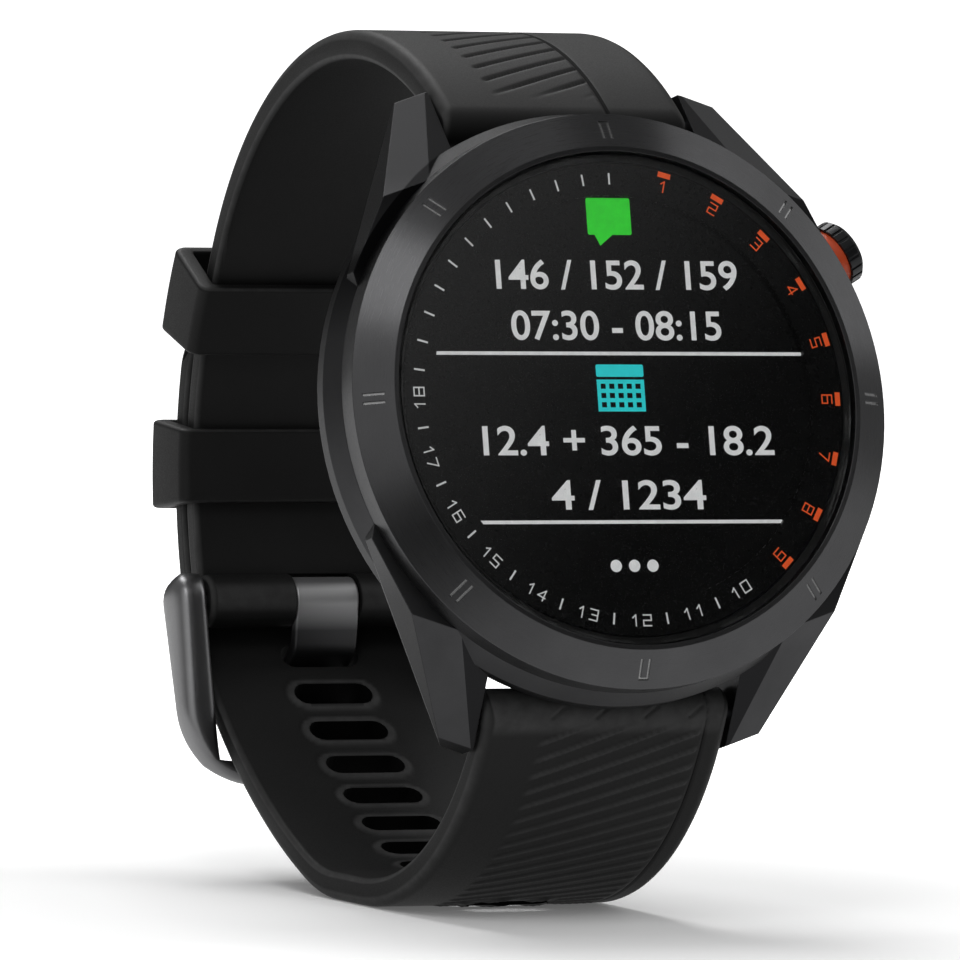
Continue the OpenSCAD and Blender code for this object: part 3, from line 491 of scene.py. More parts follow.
MATERIALS = {
    # The last colour of each rubber is its painted highlight
    "strap": rubber("strap_rubber", "141414", "1a1a1a", "4a4a4a"),
    "keeper": rubber("keeper_rubber", "131313", "181818", "3a3a3a"),
    # Painted shade: the slots' walls near black
    "slot": finish("slot_shade_rubber", "040404", "070707", (0.6, 0.75), 8.0, 0.01, specular=0.05),
    "seal": finish("seal_rubber", "0c0c0c", "151515", (0.6, 0.75), 8.0, 0.01),
    "case": finish("case_metal", "3a3a3b", "434344", (0.34, 0.46), 10.0, 0.004, metal=1.0,
                   round_edge=0.12, shading=case_shade, tint=case_tint),
    "bezel": turned_metal("bezel_metal", "464647", "4e4e4f", (0.26, 0.32), streak=26.0,
                          round_edge=0.08, anisotropy=0.8),
    "buckle": finish("buckle_metal", "7c7c7d", "868687", (0.32, 0.42), 8.0, 0.003, metal=1.0),
    "tang": finish("tang_metal", "38383a", "404042", (0.36, 0.46), 8.0, 0.003, metal=0.4,
                   shading=tang_shade),
    "steel": finish("steel", "8d9094", "a6a9ad", (0.25, 0.4), 12.0, 0.003, metal=1.0),
    "lens": glass("lens_glass"),
    "ring": finish("dial_print", "050505", "080808", (0.2, 0.3), 4.0, 0.001, specular=0.2),
    "panel": finish("panel_glass", "040404", "060606", (0.2, 0.3), 4.0, 0.001, specular=0.2),
    "polymer": finish("dark_polymer", "1a1b1d", "242527", (0.45, 0.6), 7.0, 0.01),
    "cover": finish("rear_polymer", "1b1c1e", "252628", (0.4, 0.55), 9.0, 0.012, round_edge=0.15),
    "board": board("board_green"),
    "foil": finish("foil", "7b7f85", "a5a9af", (0.25, 0.5), 1.2, 0.03, metal=0.9),
    "copper": finish("copper", "b08a3c", "d0a752", (0.2, 0.35), 8.0, 0.004, metal=1.0),
    "orange": finish("orange", "c8431c", "dd5526", (0.35, 0.5), 7.0, 0.008),
    "cap": finish("cap_black", "17181a", "222325", (0.32, 0.45), 9.0, 0.006, metal=0.6, round_edge=0.08),
    # Print glows as painted light; the screen's symbols below are lit
    "print_white_painted_glow": glowing("print_white_painted_glow", "b4b4b4", 0.75),
    "print_orange_painted_glow": glowing("print_orange_painted_glow", "c84a1c", 0.75),
    "screen_white": glowing("screen_white", "bcbcbc", 0.9),
    "screen_green": glowing("screen_green", "26b428", 0.95),
    "screen_cyan": glowing("screen_cyan", "1fb0b2", 0.95),
}

# CAD pieces that are shown as they are, by finish
DRESSED = {
    "bezel": ["bezel"],
    "board": ["main_board"],
    "cap": ["button_cap"],
    "case": ["case"],
    "copper": ["display_flex", "charging_contacts"],
    "cover": ["rear_cover"],
    "foil": ["battery"],
    "lens": ["lens"],
    "orange": ["button_ring"],
    "panel": ["display_panel"],
    "polymer": ["display_frame", "antenna_ring", "contact_block", "contact_insert", "tact_switch"],
    "ring": ["chapter_ring"],
    "seal": ["lens_gasket", "case_seal", "button_seal"],
    "steel": ["shield_can", "motor_can", "motor_rotor", "cover_screws", "button_stem", "button_clip",
              "button_spring", "spring_bar_upper", "spring_bar_lower", "release_pin_upper",
              "release_pin_lower", "release_spring_upper", "release_spring_lower", "buckle_pin"],
}


def dress_nodes():
    for finish_name, names in DRESSED.items():
        for name in names:
            mesh = nodes[name].data
            mesh.materials.clear()
            mesh.materials.append(MATERIALS[finish_name])


# Outlines and meshes


def box(x0, y0, x1, y1):
    return [(x0, y0), (x1, y0), (x1, y1), (x0, y1)]


def circle(r, n):
    return [tuple(r * out_of(360 * i / n)) for i in range(n)]


def round_box(x0, y0, x1, y1, r, n):
    """A rectangle with corners of radius r, of n points each."""
    corners = [(x1 - r, y1 - r, 0), (x0 + r, y1 - r, 90), (x0 + r, y0 + r, 180), (x1 - r, y0 + r, 270)]
    return [tuple(np.array([x, y]) + r * out_of(q + a))
            for x, y, q in corners for a in np.linspace(0, 90, n)]


def stadium(width, length):
    half = (width - length) / 2
    right = [(half + length / 2 * math.cos(a), length / 2 * math.sin(a))
             for a in np.linspace(-math.pi / 2, math.pi / 2, 9)]
    return right + [(-x, -y) for x, y in right]


def rounded_end(reach, over, inset, n):
    """Steps round the last edge of a sweep that ends at reach, as pairs of place and inset."""
    return [(reach - over * (1 - math.sin(a)), inset * (1 - math.cos(a)))
            for a in np.linspace(0, math.pi / 2, n)]


def mirrored(steps):
    return [(-place, inset) for place, inset in steps[::-1]]


def quads(rows, columns, join_rows=False, join_columns=False):
    """Faces of a grid of points, whose last row or column joins the first where asked."""
    faces = []
    for i in range(rows if join_rows else rows - 1):
        here = i * columns
        there = (i + 1) % rows * columns
        for j in range(columns if join_columns else columns - 1):
            k = (j + 1) % columns
            faces.append((here + j, here + k, there + k, there + j))
    return faces


def new_object(name, data):
    item = bpy.data.objects.new(name, data)
    bpy.context.scene.collection.objects.link(item)
    return item


def mesh_object(name, points, faces, finish_name):
    mesh = bpy.data.meshes.new(name)
    mesh.from_pydata([tuple(p) for p in points], [], faces)
    mesh.materials.append(MATERIALS[finish_name])
    return new_object(name, mesh)


def piece(name, points, faces, finish_name, body, smooth=True):
    """A mesh object from scene points, riding on a body."""
    item = mesh_object(name, points, faces, finish_name)
    if smooth:
        item.data.shade_smooth()
    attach(item, body)
    return item


def fix_normals(item):
    grid = bmesh.new()
    grid.from_mesh(item.data)
    bmesh.ops.recalc_face_normals(grid, faces=grid.faces)
    grid.to_mesh(item.data)
    grid.free()


def smooth_by_angle(item, degrees):
    item.data.shade_smooth()
    item.data.set_sharp_from_angle(angle=math.radians(degrees))


# Painted light per point, for the rubber's pale rim colour
def set_worn(item, painted_light):
    layer = item.data.attributes.new("painted_light", "FLOAT", "POINT")
    layer.data.foreach_set("value", painted_light)


# Release lever of a spring bar
LEVER_X = 7.4
LEVER_D = 0.8
RELEASE = 1.3


class Cutter:
    """Prisms that are taken out of a piece together, and so don't overlap."""

    def __init__(self):
        self.points = []
        self.faces = []

    def prism(self, profile, low, high, place):
        """Adds a profile drawn from low to high; place maps one of its points and a level."""
        first = len(self.points)
        n = len(profile)
        for level in (low, high):
            self.points.extend(place(p, level) for p in profile)
        self.faces.append([first + i for i in range(n)][::-1])
        self.faces.append([first + n + i for i in range(n)])
        for i in range(n):
            k = (i + 1) % n
            self.faces.append((first + i, first + k, first + n + k, first + n + i))

    def bore(self, centre, half):
        """Adds a pin's bore, to a distance at either side of the strap's middle."""
        def place(p, level):
            return at_loop(level, centre + p)
        self.prism(circle(PIN_BORE, 28), -half, half, place)

    def lever_window(self, centre):
        """Adds the window towards the wrist for the release lever of a spring bar."""
        aim = unit(BEND - centre)
        room = LEVER_D / 2 + 2 * SLIP

        def place(p, level):
            return at_loop(p[0], centre + level * aim + p[1] * quarter(aim))
        self.prism(box(-LEVER_X - room, -room, -LEVER_X + RELEASE + room, room), 0, 2 * ROLL_R, place)

    def take_from(self, item, finish_name):
        """Cuts the prisms out of a piece; the cut faces take a finish."""
        cutter = mesh_object("cutter", self.points, self.faces, finish_name)
        fix_normals(cutter)
        step = item.modifiers.new("cut", "BOOLEAN")
        step.operation = "DIFFERENCE"
        step.solver = "EXACT"
        step.object = cutter
        step.material_mode = "TRANSFER"
        graph = bpy.context.evaluated_depsgraph_get()
        result = bpy.data.meshes.new_from_object(item.evaluated_get(graph), depsgraph=graph)
        item.modifiers.clear()
        item.data = result
        bpy.data.objects.remove(cutter)


# Paths along the loop


class Path:
    """Arcs along a strap's outer face; way is 1 up the loop and -1 down it.

    A pose on it is a spot and the direction of the outward normal in degrees.
    """

    def __init__(self, radius, q, way):
        self.way = way
        self.parts = []
        self.end = (BEND + radius * out_of(q), q)

    def run(self, radius, length):
        """Goes on by an arc, or by a line where the radius is 0."""
        self.parts.append((self.end, radius, length))
        self.end = self.on(self.parts[-1], length)

    def arc(self, radius, turn):
        self.run(radius, math.radians(turn) * radius)

    def close_on(self, roll):
        """Goes on by the arc that meets the round of a rolled end."""
        spot, q = self.end
        inward = -out_of(q)
        gap = roll - spot
        r = (gap @ gap - FACE_R ** 2) / (2 * (gap @ inward - FACE_R))
        last = roll - (spot + r * inward)
        self.arc(r, (math.degrees(math.atan2(last[1], last[0])) - q) * self.way)

    def on(self, part, s):
        (spot, q), radius, _ = part
        if radius == 0:
            return spot + s * self.way * quarter(out_of(q)), q
        new_q = q + self.way * math.degrees(s / radius)
        return spot + radius * (out_of(new_q) - out_of(q)), new_q

    def length(self):
        return sum(part[2] for part in self.parts)

    def at(self, s):
        """The pose at a length s along the path."""
        for part in self.parts[:-1]:
            if s <= part[2]:
                return self.on(part, s)
            s -= part[2]
        return self.on(self.parts[-1], s)


UP = Path(UPPER_R, -PIN_ANGLE, 1)
UP.arc(UPPER_R, PIN_ANGLE + BEND_TOP)
UP.arc(EASE_R, EASE_TURN)
UP.close_on(ROLL_UP)

LOW = Path(LOWER_R, TAIL_END, -1)
LOW.arc(LOWER_R, TAIL_END + DIP_START)
LOW.arc(DIP_R, DIP_TURN)
SLOT_FROM = LOW.length() - SLOT_BACK
LOW.arc(SLOT_R, SLOT_TURN)
LOW.arc(HEEL_R, HEEL_TURN)
REST_FROM = LOW.length()
LOW.run(0, FLAT_L)
REST_TO = LOW.length()
LOW.close_on(ROLL_DOWN)
PIN_AT = BEND + (UPPER_R - HUB_R - CLOSE) * out_of(-PIN_ANGLE)

# Moulded relief on the straps, from x across and s along

# Ribs and groove of the lower strap, between its resting flat and its rolled end
LOW_RIB_PITCH = 1.46
LOW_RIB_SLOPE = 0.42
LOW_RIB_BACK = 2.3
LOW_RIB_LEFT = -5.4
LOW_RIB_RIGHT = 7.6
LOW_RIB_HALF = 0.33
LOW_RIB_START = 2.5
LOW_RIB_PAST = 0.2
LOW_GROOVE_X = 7.85
LOW_GROOVE_HALF = 0.16
GROOVE_H = 0.16
RIB_H = 0.13
# Lengths over which fields of ribs come in and go out, across and along
LOW_FADE_X = (0.7, 0.3)
LOW_FADE_S = (1.5, 0.7)
UP_FADE_X = (0.7, 0.2)
UP_FADE_S = (3, 2.5)
GROOVE_FADE = 3
# Share by which these ribs grow towards the rolled end, and where they start to
RIB_GAIN = 0.5
GAIN_BACK = 9
GAIN_OVER = 5
# Grooves of the upper strap
UP_RIB_PITCH = 2.0
UP_RIB_SLOPE = -0.5
UP_RIB_LEFT = -5.2
UP_RIB_HALF = 0.3
UP_RIB_BACK = 34
UP_RIB_STOP = 0.8
UP_GROOVE_X = 3.4
UP_GROOVE_HALF = 0.2
UP_GROOVE_H = 0.26
# Inner face of the upper strap, thinner from a place along it to a distance before its rolled end
THIN_FROM = 28
THIN_STOP = 4
THIN_OVER = 4
THIN_H = 0.3
# Rims round the slots
RIM_H = 0.12
RIM_REACH = 0.75
RIM_SOFT = 0.35
REST_FADE = 3.5
# Slashes on the lower rolled end: place across, lean and reach past the strap's face
SLASHES = (-4.46, -0.97, 2.87, 6.42)
SLASH_LEAN = 1.1
SLASH_HALF = 0.3
SLASH_FROM = 0.53
SLASH_TO = 1.5
SLASH_SOFT = 0.1
# Painted highlight on raised detail, painted light over the lower rolled end, and a painted highlight
# along the front of the buckle pin's hub
RAISED_HIGHLIGHT = 0.75
ROLL_LIGHT = 1.0
HUB_HIGHLIGHT = 0.6
# How squarely the hub's front faces the case where its painted highlight starts, as a cosine
HUB_FRONT = 0.8


def ridge(d, half):
    """A round bead of the given half width."""
    return np.where(np.abs(d) < half, np.cos(d / half * math.pi / 2) ** 2, 0)


def ribs(x, s, pitch, slope, half):
    """Slanting beads, of which one runs through x and s of 0."""
    phase = (s - slope * x) / pitch
    return ridge((phase - np.round(phase)) * pitch, half)


def window(v, low, high, rise, fall):
    """1 between low and high, eased over a length inside each."""
    return smoothstep((v - low) / rise) * smoothstep((high - v) / fall)


def slot_distance(x, along):
    """Distance outside a slot's outline, for x across and along from its middle."""
    half = (SLOT_W - SLOT_L) / 2
    return np.hypot(np.maximum(np.abs(x) - half, 0), along) - SLOT_L / 2


def slot_rims(x, s, first):
    """Raised rims round the slots, left off where the strap rests."""
    height = np.zeros_like(x)
    for k in SLOTS:
        middle = SLOT_FROM + k * SLOT_PITCH
        if k >= first and not REST_FROM - SLOT_L < middle < REST_TO + SLOT_L:
            height = height + RIM_H * smoothstep((RIM_REACH - slot_distance(x, s - middle)) / RIM_SOFT)
    clear = np.maximum(REST_FROM - s, s - REST_TO)
    return height * smoothstep(clear / REST_FADE)


def lower_relief(x, s):
    total = LOW.length()
    past = s - total
    field = window(x, LOW_RIB_LEFT, LOW_RIB_RIGHT, *LOW_FADE_X)
    field = field * window(s, REST_TO + LOW_RIB_START, total + LOW_RIB_PAST, *LOW_FADE_S)
    gain = 1 + RIB_GAIN * smoothstep((past + GAIN_BACK) / GAIN_OVER)
    rib = ribs(x, past + LOW_RIB_BACK, LOW_RIB_PITCH, LOW_RIB_SLOPE, LOW_RIB_HALF)
    groove = ridge(x - LOW_GROOVE_X, LOW_GROOVE_HALF) * smoothstep((s - REST_TO) / GROOVE_FADE)
    height = RIB_H * gain * rib * field - GROOVE_H * groove + slot_rims(x, s, min(SLOTS))
    for low_x in SLASHES:
        middle = low_x + SLASH_LEAN * (past - SLASH_FROM)
        along = window(past, SLASH_FROM - SLASH_SOFT, SLASH_TO, SLASH_SOFT, SLASH_SOFT)
        height = height - GROOVE_H * ridge(x - middle, SLASH_HALF) * along
    return height


def lower_inner_relief(x, s):
    return slot_rims(x, s, 1)


def upper_relief(x, s):
    past = s - UP.length()
    field = window(x, UP_RIB_LEFT, UP_GROOVE_X, *UP_FADE_X)
    field = field * window(past, -UP_RIB_BACK, -UP_RIB_STOP, *UP_FADE_S)
    rib = ribs(x, past, UP_RIB_PITCH, UP_RIB_SLOPE, UP_RIB_HALF)
    groove = ridge(x - UP_GROOVE_X, UP_GROOVE_HALF) * smoothstep((past + UP_RIB_BACK) / GROOVE_FADE)
    return -UP_GROOVE_H * np.maximum(rib * field, groove)


def upper_inner_relief(x, s):
    """The strap thins between the keepers and its rolled end."""
    return -THIN_H * window(s, THIN_FROM, UP.length() - THIN_STOP, THIN_OVER, THIN_OVER)


# Straps

# Turns in degrees over which a strap's face and edges run into the round of its end
FACE_TURN = 50
EDGE_TURN = 60
# Turn that the hub goes round the buckle's pin
HUB_TURN = 268


def strap_columns():
    """Places across the strap: the share of the flat part, and the angle round each edge."""
    flat = np.linspace(-1, 1, 125)
    turn = np.radians(np.linspace(0, 90, 7)[1:])
    side = np.ones_like(turn)
    return np.concatenate((-side, flat, side)), np.concatenate((turn[::-1], 0 * flat, turn))


def strap_stations(total, fine_from, fine, coarse):
    """Places along the strap, in coarse steps and then in fine ones."""
    steps = int((total - fine_from) / fine)
    return [*np.arange(0, fine_from, coarse), *np.linspace(fine_from, total, steps)]


def round_row(middle, d, q, radii, start=None):
    """A row d degrees on round a strap's end, whose place along counts from start or else is 0."""
    normal = out_of(q)
    r = blend(*radii, d / FACE_TURN)
    s = 0 if start is None else start + math.radians(d) * r
    return middle + r * normal, normal, s, blend(EDGE_OUT, EDGE_ROLL, d / EDGE_TURN)


def strap_rows(path, t, stations, roll, tail, hub):
    """The strap's outline in the loop plane, as rows of spot, normal, place along and edge radius.

    The place along is negative on the inner face, and 0 round the tail.
    """
    rows = []
    for s in stations:
        spot, q = path.at(s)
        rows.append((spot, out_of(q), s, EDGE_OUT))
    sweep = 180 + math.degrees(math.acos((t - FACE_R) / ROLL_R))
    for d in np.linspace(0, sweep, 56)[1:]:
        rows.append(round_row(roll, d, path.end[1] + path.way * d, (FACE_R, ROLL_R), path.length()))
    for s in stations[::-1][::2]:
        spot, q = path.at(s)
        spot = spot - t * out_of(q)
        past_roll = np.linalg.norm(spot - roll) > ROLL_R
        if past_roll and (hub is None or np.linalg.norm(spot - hub) > HUB_R):
            rows.append((spot, -out_of(q), -s, EDGE_IN))
    return rows + tail


def strap_bloom(path, s, normal):
    """Painted light of a whole row of the strap: over the lower rolled end, and a highlight along the
    hub's front.
    """
    if path is LOW:
        return ROLL_LIGHT * float(smoothstep(s - path.length() + 1))
    if s == 0:
        return HUB_HIGHLIGHT * float(smoothstep((-normal[0] - HUB_FRONT) / (1 - HUB_FRONT)))
    return 0


def strap_mesh(name, path, rows, reliefs, tail_r=0):
    """A strap's rows drawn across, with rounded edges and moulded relief."""
    share, turn = strap_columns()
    points = []
    painted_light = []
    for spot, normal, s, edge in rows:
        half = STRAP_W / 2
        if abs(s) < tail_r:
            half -= tail_r - math.sqrt(tail_r ** 2 - (tail_r - abs(s)) ** 2)
        x = share * (half - edge) + np.sign(share) * edge * np.sin(turn)
        relief = reliefs[0] if s > 0 else reliefs[1]
        rise = np.where(turn == 0, relief(x, np.full_like(x, abs(s))), 0)
        lift = rise - edge * (1 - np.cos(turn))
        row_light = strap_bloom(path, s, normal)
        for xi, h, a in zip(x, lift, turn):
            points.append(at_loop(xi, spot + h * normal))
            raised = RAISED_HIGHLIGHT * min(max(h / RIM_H, 0), 1)
            # Painted highlight on rounded edges and raised detail, or the row's painted light
            painted_light.append(math.sin(a) ** 2 if 0 < a < math.pi / 2 else max(raised, row_light))
    n, m = len(rows), len(share)
    faces = quads(n, m, join_rows=True)
    faces.append([i * m for i in range(n)])
    faces.append([i * m + m - 1 for i in range(n)][::-1])
    item = piece(name + "_rubber", points, faces, "strap", ROOT)
    set_worn(item, painted_light)
    fix_normals(item)
    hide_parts(name)
    return item


def hub_rows():
    """The hub round the buckle's pin, at the end of the upper strap."""
    turns = np.linspace(HUB_TURN, 0, 60)[:-1]
    return [round_row(PIN_AT, d, -PIN_ANGLE - d, (HUB_R + CLOSE, HUB_R)) for d in turns]


def tail_rows():
    """The tip of the lower strap's tail."""
    spot, q = LOW.at(0)
    normal = out_of(q)
    rows = []
    for a in np.linspace(math.pi, 0, 14)[1:-1]:
        way = math.cos(a) * normal + TAIL_BLUNT * math.sin(a) * quarter(normal)
        rows.append((spot + LOWER_T / 2 * (way - normal), unit(way), 0, EDGE_IN))
    return rows


def upper_strap():
    total = UP.length()
    stations = strap_stations(total, fine_from=total - 36, fine=0.16, coarse=0.6)
    rows = strap_rows(UP, UPPER_T, stations, ROLL_UP, hub_rows(), PIN_AT)
    item = strap_mesh("strap_upper", UP, rows, (upper_relief, upper_inner_relief))
    bores = Cutter()
    bores.bore(ROLL_UP, STRAP_W)
    bores.bore(PIN_AT, STRAP_W)
    bores.take_from(item, "strap")
    openings = Cutter()
    openings.lever_window(ROLL_UP)
    ahead = out_of(-PIN_ANGLE)

    def place(p, level):
        return at_loop(level, PIN_AT + p[0] * ahead + p[1] * quarter(ahead))
    notch = box(-2 * HUB_R, -HUB_R - UPPER_T / 4, 2 * HUB_R, EYE_R + SLIP)
    openings.prism(notch, -TANG_NOTCH / 2, TANG_NOTCH / 2, place)
    openings.take_from(item, "strap")
    smooth_by_angle(item, 50)


def lower_strap():
    stations = strap_stations(LOW.length(), fine_from=9.0, fine=0.2, coarse=0.4)
    rows = strap_rows(LOW, LOWER_T, stations, ROLL_DOWN, tail_rows(), None)
    item = strap_mesh("strap_lower", LOW, rows, (lower_relief, lower_inner_relief), TAIL_R)
    bores = Cutter()
    bores.bore(ROLL_DOWN, STRAP_W)
    bores.take_from(item, "strap")
    openings = Cutter()
    openings.lever_window(ROLL_DOWN)
    for k in SLOTS:
        spot, q = LOW.at(SLOT_FROM + k * SLOT_PITCH)
        normal = out_of(q)

        def place(p, level):
            return at_loop(p[0], spot + level * normal + p[1] * quarter(normal))
        lift = HUB_LIFT if k == HUB_SLOT else 0
        outline = [(x, y + lift / 2) for x, y in stadium(SLOT_W, SLOT_L - lift)]
        openings.prism(outline, -2 * LOWER_T, LOWER_T, place)
    # The slots' walls take the near-black finish, a painted shade
    openings.take_from(item, "slot")
    smooth_by_angle(item, 50)


# Keepers

KEEPER_TURN = 11.8
KEEPERS = {"keeper_upper": 35.3, "keeper_lower": 11.2}
KEEPER_WALL = 0.9
KEEPER_SIDE = 1.3
KEEPER_ROUND = 0.85
KEEPER_INNER_ROUND = 0.25
KEEPER_RIM = 0.32
KEEPER_RIM_HIGHLIGHT = 0.8
# Insets of the rounded rim between which it gets a painted highlight
HIGHLIGHT_FROM = 0.03
HIGHLIGHT_TO = 0.3


def keeper(name, middle):
    """A moulded loop: outer and inner walls swept round the bend, with its rims rounded over."""
    low, high, half = BEND_R - SLIP, LOWER_R + SLIP, STRAP_W / 2 + SLIP
    turn = KEEPER_TURN / 2
    end = rounded_end(turn, math.degrees(KEEPER_RIM / LOWER_R), KEEPER_RIM, 6)
    steps = mirrored(end) + [(q, 0) for q in np.linspace(-turn, turn, 15)[1:-1]] + end
    rings = []
    for q, inset in steps:
        wall = KEEPER_WALL - inset
        side = half + KEEPER_SIDE - inset
        rings.append((q, inset, round_box(low - wall, -side, high + wall, side, KEEPER_ROUND, 7)))
    for q, inset in steps[::-1]:
        flare = inset / 3
        side = half + flare
        rings.append((q, 0, round_box(low - flare, -side, high + flare, side, KEEPER_INNER_ROUND, 7)))
    points = []
    painted_light = []
    for q, inset, ring in rings:
        points.extend(at_loop(x, BEND + r * out_of(middle + q)) for r, x in ring)
        # Painted highlight on the rounded rims
        painted_light.extend(KEEPER_RIM_HIGHLIGHT if HIGHLIGHT_FROM < inset < HIGHLIGHT_TO else 0 for _ in ring)
    faces = quads(len(rings), len(rings[0][2]), join_rows=True, join_columns=True)
    item = piece(name + "_rubber", points, faces, "keeper", name)
    set_worn(item, painted_light)
    fix_normals(item)
    smooth_by_angle(item, 60)
    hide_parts(name)


# Buckle: frame coordinates run from the pin to the end bar, outwards, and along x

FRAME_L = 14.4
FRAME_LEAN = 5
FRAME_Q = -90 - FRAME_LEAN
ARM_IN = STRAP_W / 2 + SLIP
ARM_W = 2.6
ARM_OUT = ARM_IN + ARM_W
# Share of an arm's width that the pin reaches into
PIN_SHARE = 0.7
PIN_HALF = ARM_IN + PIN_SHARE * ARM_W
FRAME_T = 2.3
FRAME_EYE = 4.3
FRAME_R = 6.0
# Distance that an arm's outer corner is rounded in beside its eye
EYE_ROUND = 1.1
END_W = 1.8
END_SHARE = 0.6
# Power of the frame's rounded section: 2 is an ellipse, more is squarer
SECTION_POWER = 3.2
TANG_W = 5.2
TANG_T = 1.0
TANG_BEND = 1.3
TANG_EDGE = 0.25
SEAT = 0.15


def frame_half(a):
    """Half the frame's thickness at a distance from the pin."""
    if a < 0:
        return math.sqrt(max((FRAME_EYE / 2) ** 2 - a * a, 0))
    waist = FRAME_L - END_W
    if a < waist:
        return (FRAME_EYE + (FRAME_T - FRAME_EYE) * a / waist) / 2
    return FRAME_T / 2 * (1 - (1 - END_SHARE) * (a - waist) / END_W)


def frame_sides():
    """Outer and inner outline of the frame's half with x above 0, as (a, x) pairs."""
    arm_end = FRAME_L - FRAME_R
    pairs = []
    for share in np.cos(np.linspace(0, math.pi / 2, 9)):
        a = -FRAME_EYE / 2 * share
        pairs.append(((a, ARM_OUT - EYE_ROUND * share ** 3), (a, ARM_IN)))
    pairs += [((a, ARM_OUT), (a, ARM_IN)) for a in np.linspace(0, arm_end, 12)[1:]]
    bar_x = ARM_OUT - FRAME_R
    for q in np.linspace(0, 90, 17)[1:]:
        turn = math.radians(q)
        outer = (arm_end + FRAME_R * math.sin(turn), bar_x + FRAME_R * math.cos(turn))
        first = min(q / 45, 1)
        second = max(q / 45 - 1, 0)
        inner = (arm_end + (FRAME_R - END_W) * first, ARM_IN - (ARM_IN - bar_x) * second)
        pairs.append((outer, inner))
    return pairs + [((FRAME_L, x), (FRAME_L - END_W, x)) for x in np.linspace(bar_x, 0, 6)[1:]]


def squarer(v):
    """A sine or cosine drawn out to the frame's section."""
    return math.copysign(abs(v) ** (2 / SECTION_POWER), v)


def pin_bore(item, half):
    cutter = Cutter()
    cutter.bore(PIN_AT, half)
    cutter.take_from(item, "buckle")


def buckle_frame():
    """The frame with a rounded section drawn between its outer and inner outlines."""
    half = frame_sides()
    pairs = half + [((o[0], -o[1]), (i[0], -i[1])) for o, i in half[-2::-1]]
    ahead = out_of(FRAME_Q)
    around = np.linspace(0, 2 * math.pi, 29)[:-1]
    points = []
    for outer, inner in pairs:
        middle = (np.array(outer) + np.array(inner)) / 2
        reach = (np.array(outer) - np.array(inner)) / 2
        for q in around:
            a, x = middle + squarer(math.cos(q)) * reach
            up = squarer(math.sin(q)) * frame_half(a)
            points.append(at_loop(x, PIN_AT + a * ahead + up * quarter(ahead)))
    faces = quads(len(pairs), len(around), join_columns=True)
    item = piece("buckle_frame_metal", points, faces, "buckle", "buckle_frame")
    grid = bmesh.new()
    grid.from_mesh(item.data)
    bmesh.ops.remove_doubles(grid, verts=grid.verts, dist=0.002 * MM)
    bmesh.ops.holes_fill(grid, edges=grid.edges)
    grid.to_mesh(item.data)
    grid.free()
    fix_normals(item)
    pin_bore(item, PIN_HALF + SLIP / 4)
    smooth_by_angle(item, 40)
    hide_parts("buckle_frame")


def rounded_line(corners, r):
    """Points along a line through the corners, with each inner corner rounded to radius r."""
    line = [corners[0]]
    for before, spot, after in zip(corners, corners[1:], corners[2:]):
        come = unit(spot - before)
        go = unit(after - spot)
        turn = math.acos(float(come @ go))
        back = r * math.tan(turn / 2)
        centre = spot + unit(go - come) * r / math.cos(turn / 2)
        start = (spot - back * come - centre) / math.sin(turn)
        end = (spot + back * go - centre) / math.sin(turn)
        for f in np.linspace(0, 1, 9):
            line.append(centre + math.sin((1 - f) * turn) * start + math.sin(f * turn) * end)
    return line + [corners[-1]]


def tang_outline():
    """The tang in the loop plane: its eye, then the strip through the slot to the end bar."""
    face, q = LOW.at(SLOT_FROM)
    out = out_of(q)
    ahead = out_of(FRAME_Q)
    start = PIN_AT - (EYE_R - TANG_T / 2 - CLOSE) * out_of(FRAME_LEAN)
    rest = PIN_AT + (FRAME_L - END_W / 4) * ahead + (FRAME_T / 2 + SEAT + TANG_T / 2) * quarter(ahead)
    line = rounded_line([start, face - (LOWER_T + TANG_T) * out, face + TANG_T * out, rest], TANG_BEND)
    ways = [unit(b - a) for a, b in zip(line, line[1:])]
    front, back = [], []
    for i, spot in enumerate(line):
        way = unit(ways[max(i - 1, 0)] + ways[min(i, len(ways) - 1)])
        front.append(spot - TANG_T / 2 * quarter(way))
        back.append(spot + TANG_T / 2 * quarter(way))
    first, last = ways[0], ways[-1]
    tip = [rest + TANG_T / 2 * (math.sin(a) * last - math.cos(a) * quarter(last))
           for a in np.linspace(0, math.pi, 9)[1:-1]]
    left = -quarter(first)
    eye_r = float((start - PIN_AT) @ left) + TANG_T / 2
    joint = eye_r - TANG_T
    stop = 2 * math.pi - math.acos(joint / eye_r)
    eye = [PIN_AT + eye_r * (math.cos(a) * left - math.sin(a) * first) for a in np.linspace(0, stop, 40)]
    return eye + back[1:] + tip[::-1] + front[:0:-1]


def buckle_tang():
    """The tang's outline drawn across, with its edges rounded in."""
    outline = tang_outline()
    n = len(outline)
    area = sum(a[0] * b[1] - a[1] * b[0] for a, b in zip(outline, outline[1:] + outline[:1]))
    inward = []
    for i in range(n):
        way = unit(outline[(i + 1) % n] - outline[i - 1])
        inward.append(math.copysign(1, area) * quarter(way))
    end = rounded_end(TANG_W / 2, TANG_EDGE, TANG_EDGE, 5)
    layers = mirrored(end) + end
    points = []
    for x, inset in layers:
        points.extend(at_loop(x, spot + inset * way) for spot, way in zip(outline, inward))
    faces = quads(len(layers), n, join_columns=True)
    faces.append(list(range(n)))
    faces.append(list(range((len(layers) - 1) * n, len(layers) * n)))
    item = piece("buckle_tang_metal", points, faces, "tang", "buckle_tang")
    fix_normals(item)
    pin_bore(item, TANG_W)
    smooth_by_angle(item, 40)
    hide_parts("buckle_tang")


# Springs, copied from the CAD pieces


def spring(name):
    """A copy of a spring that rides on the watch's root body."""
    node = nodes[name]
    item = new_object(name + "_wire", node.data.copy())
    item.matrix_world = node.matrix_world
    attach(item, ROOT)
    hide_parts(name)
    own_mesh(item)


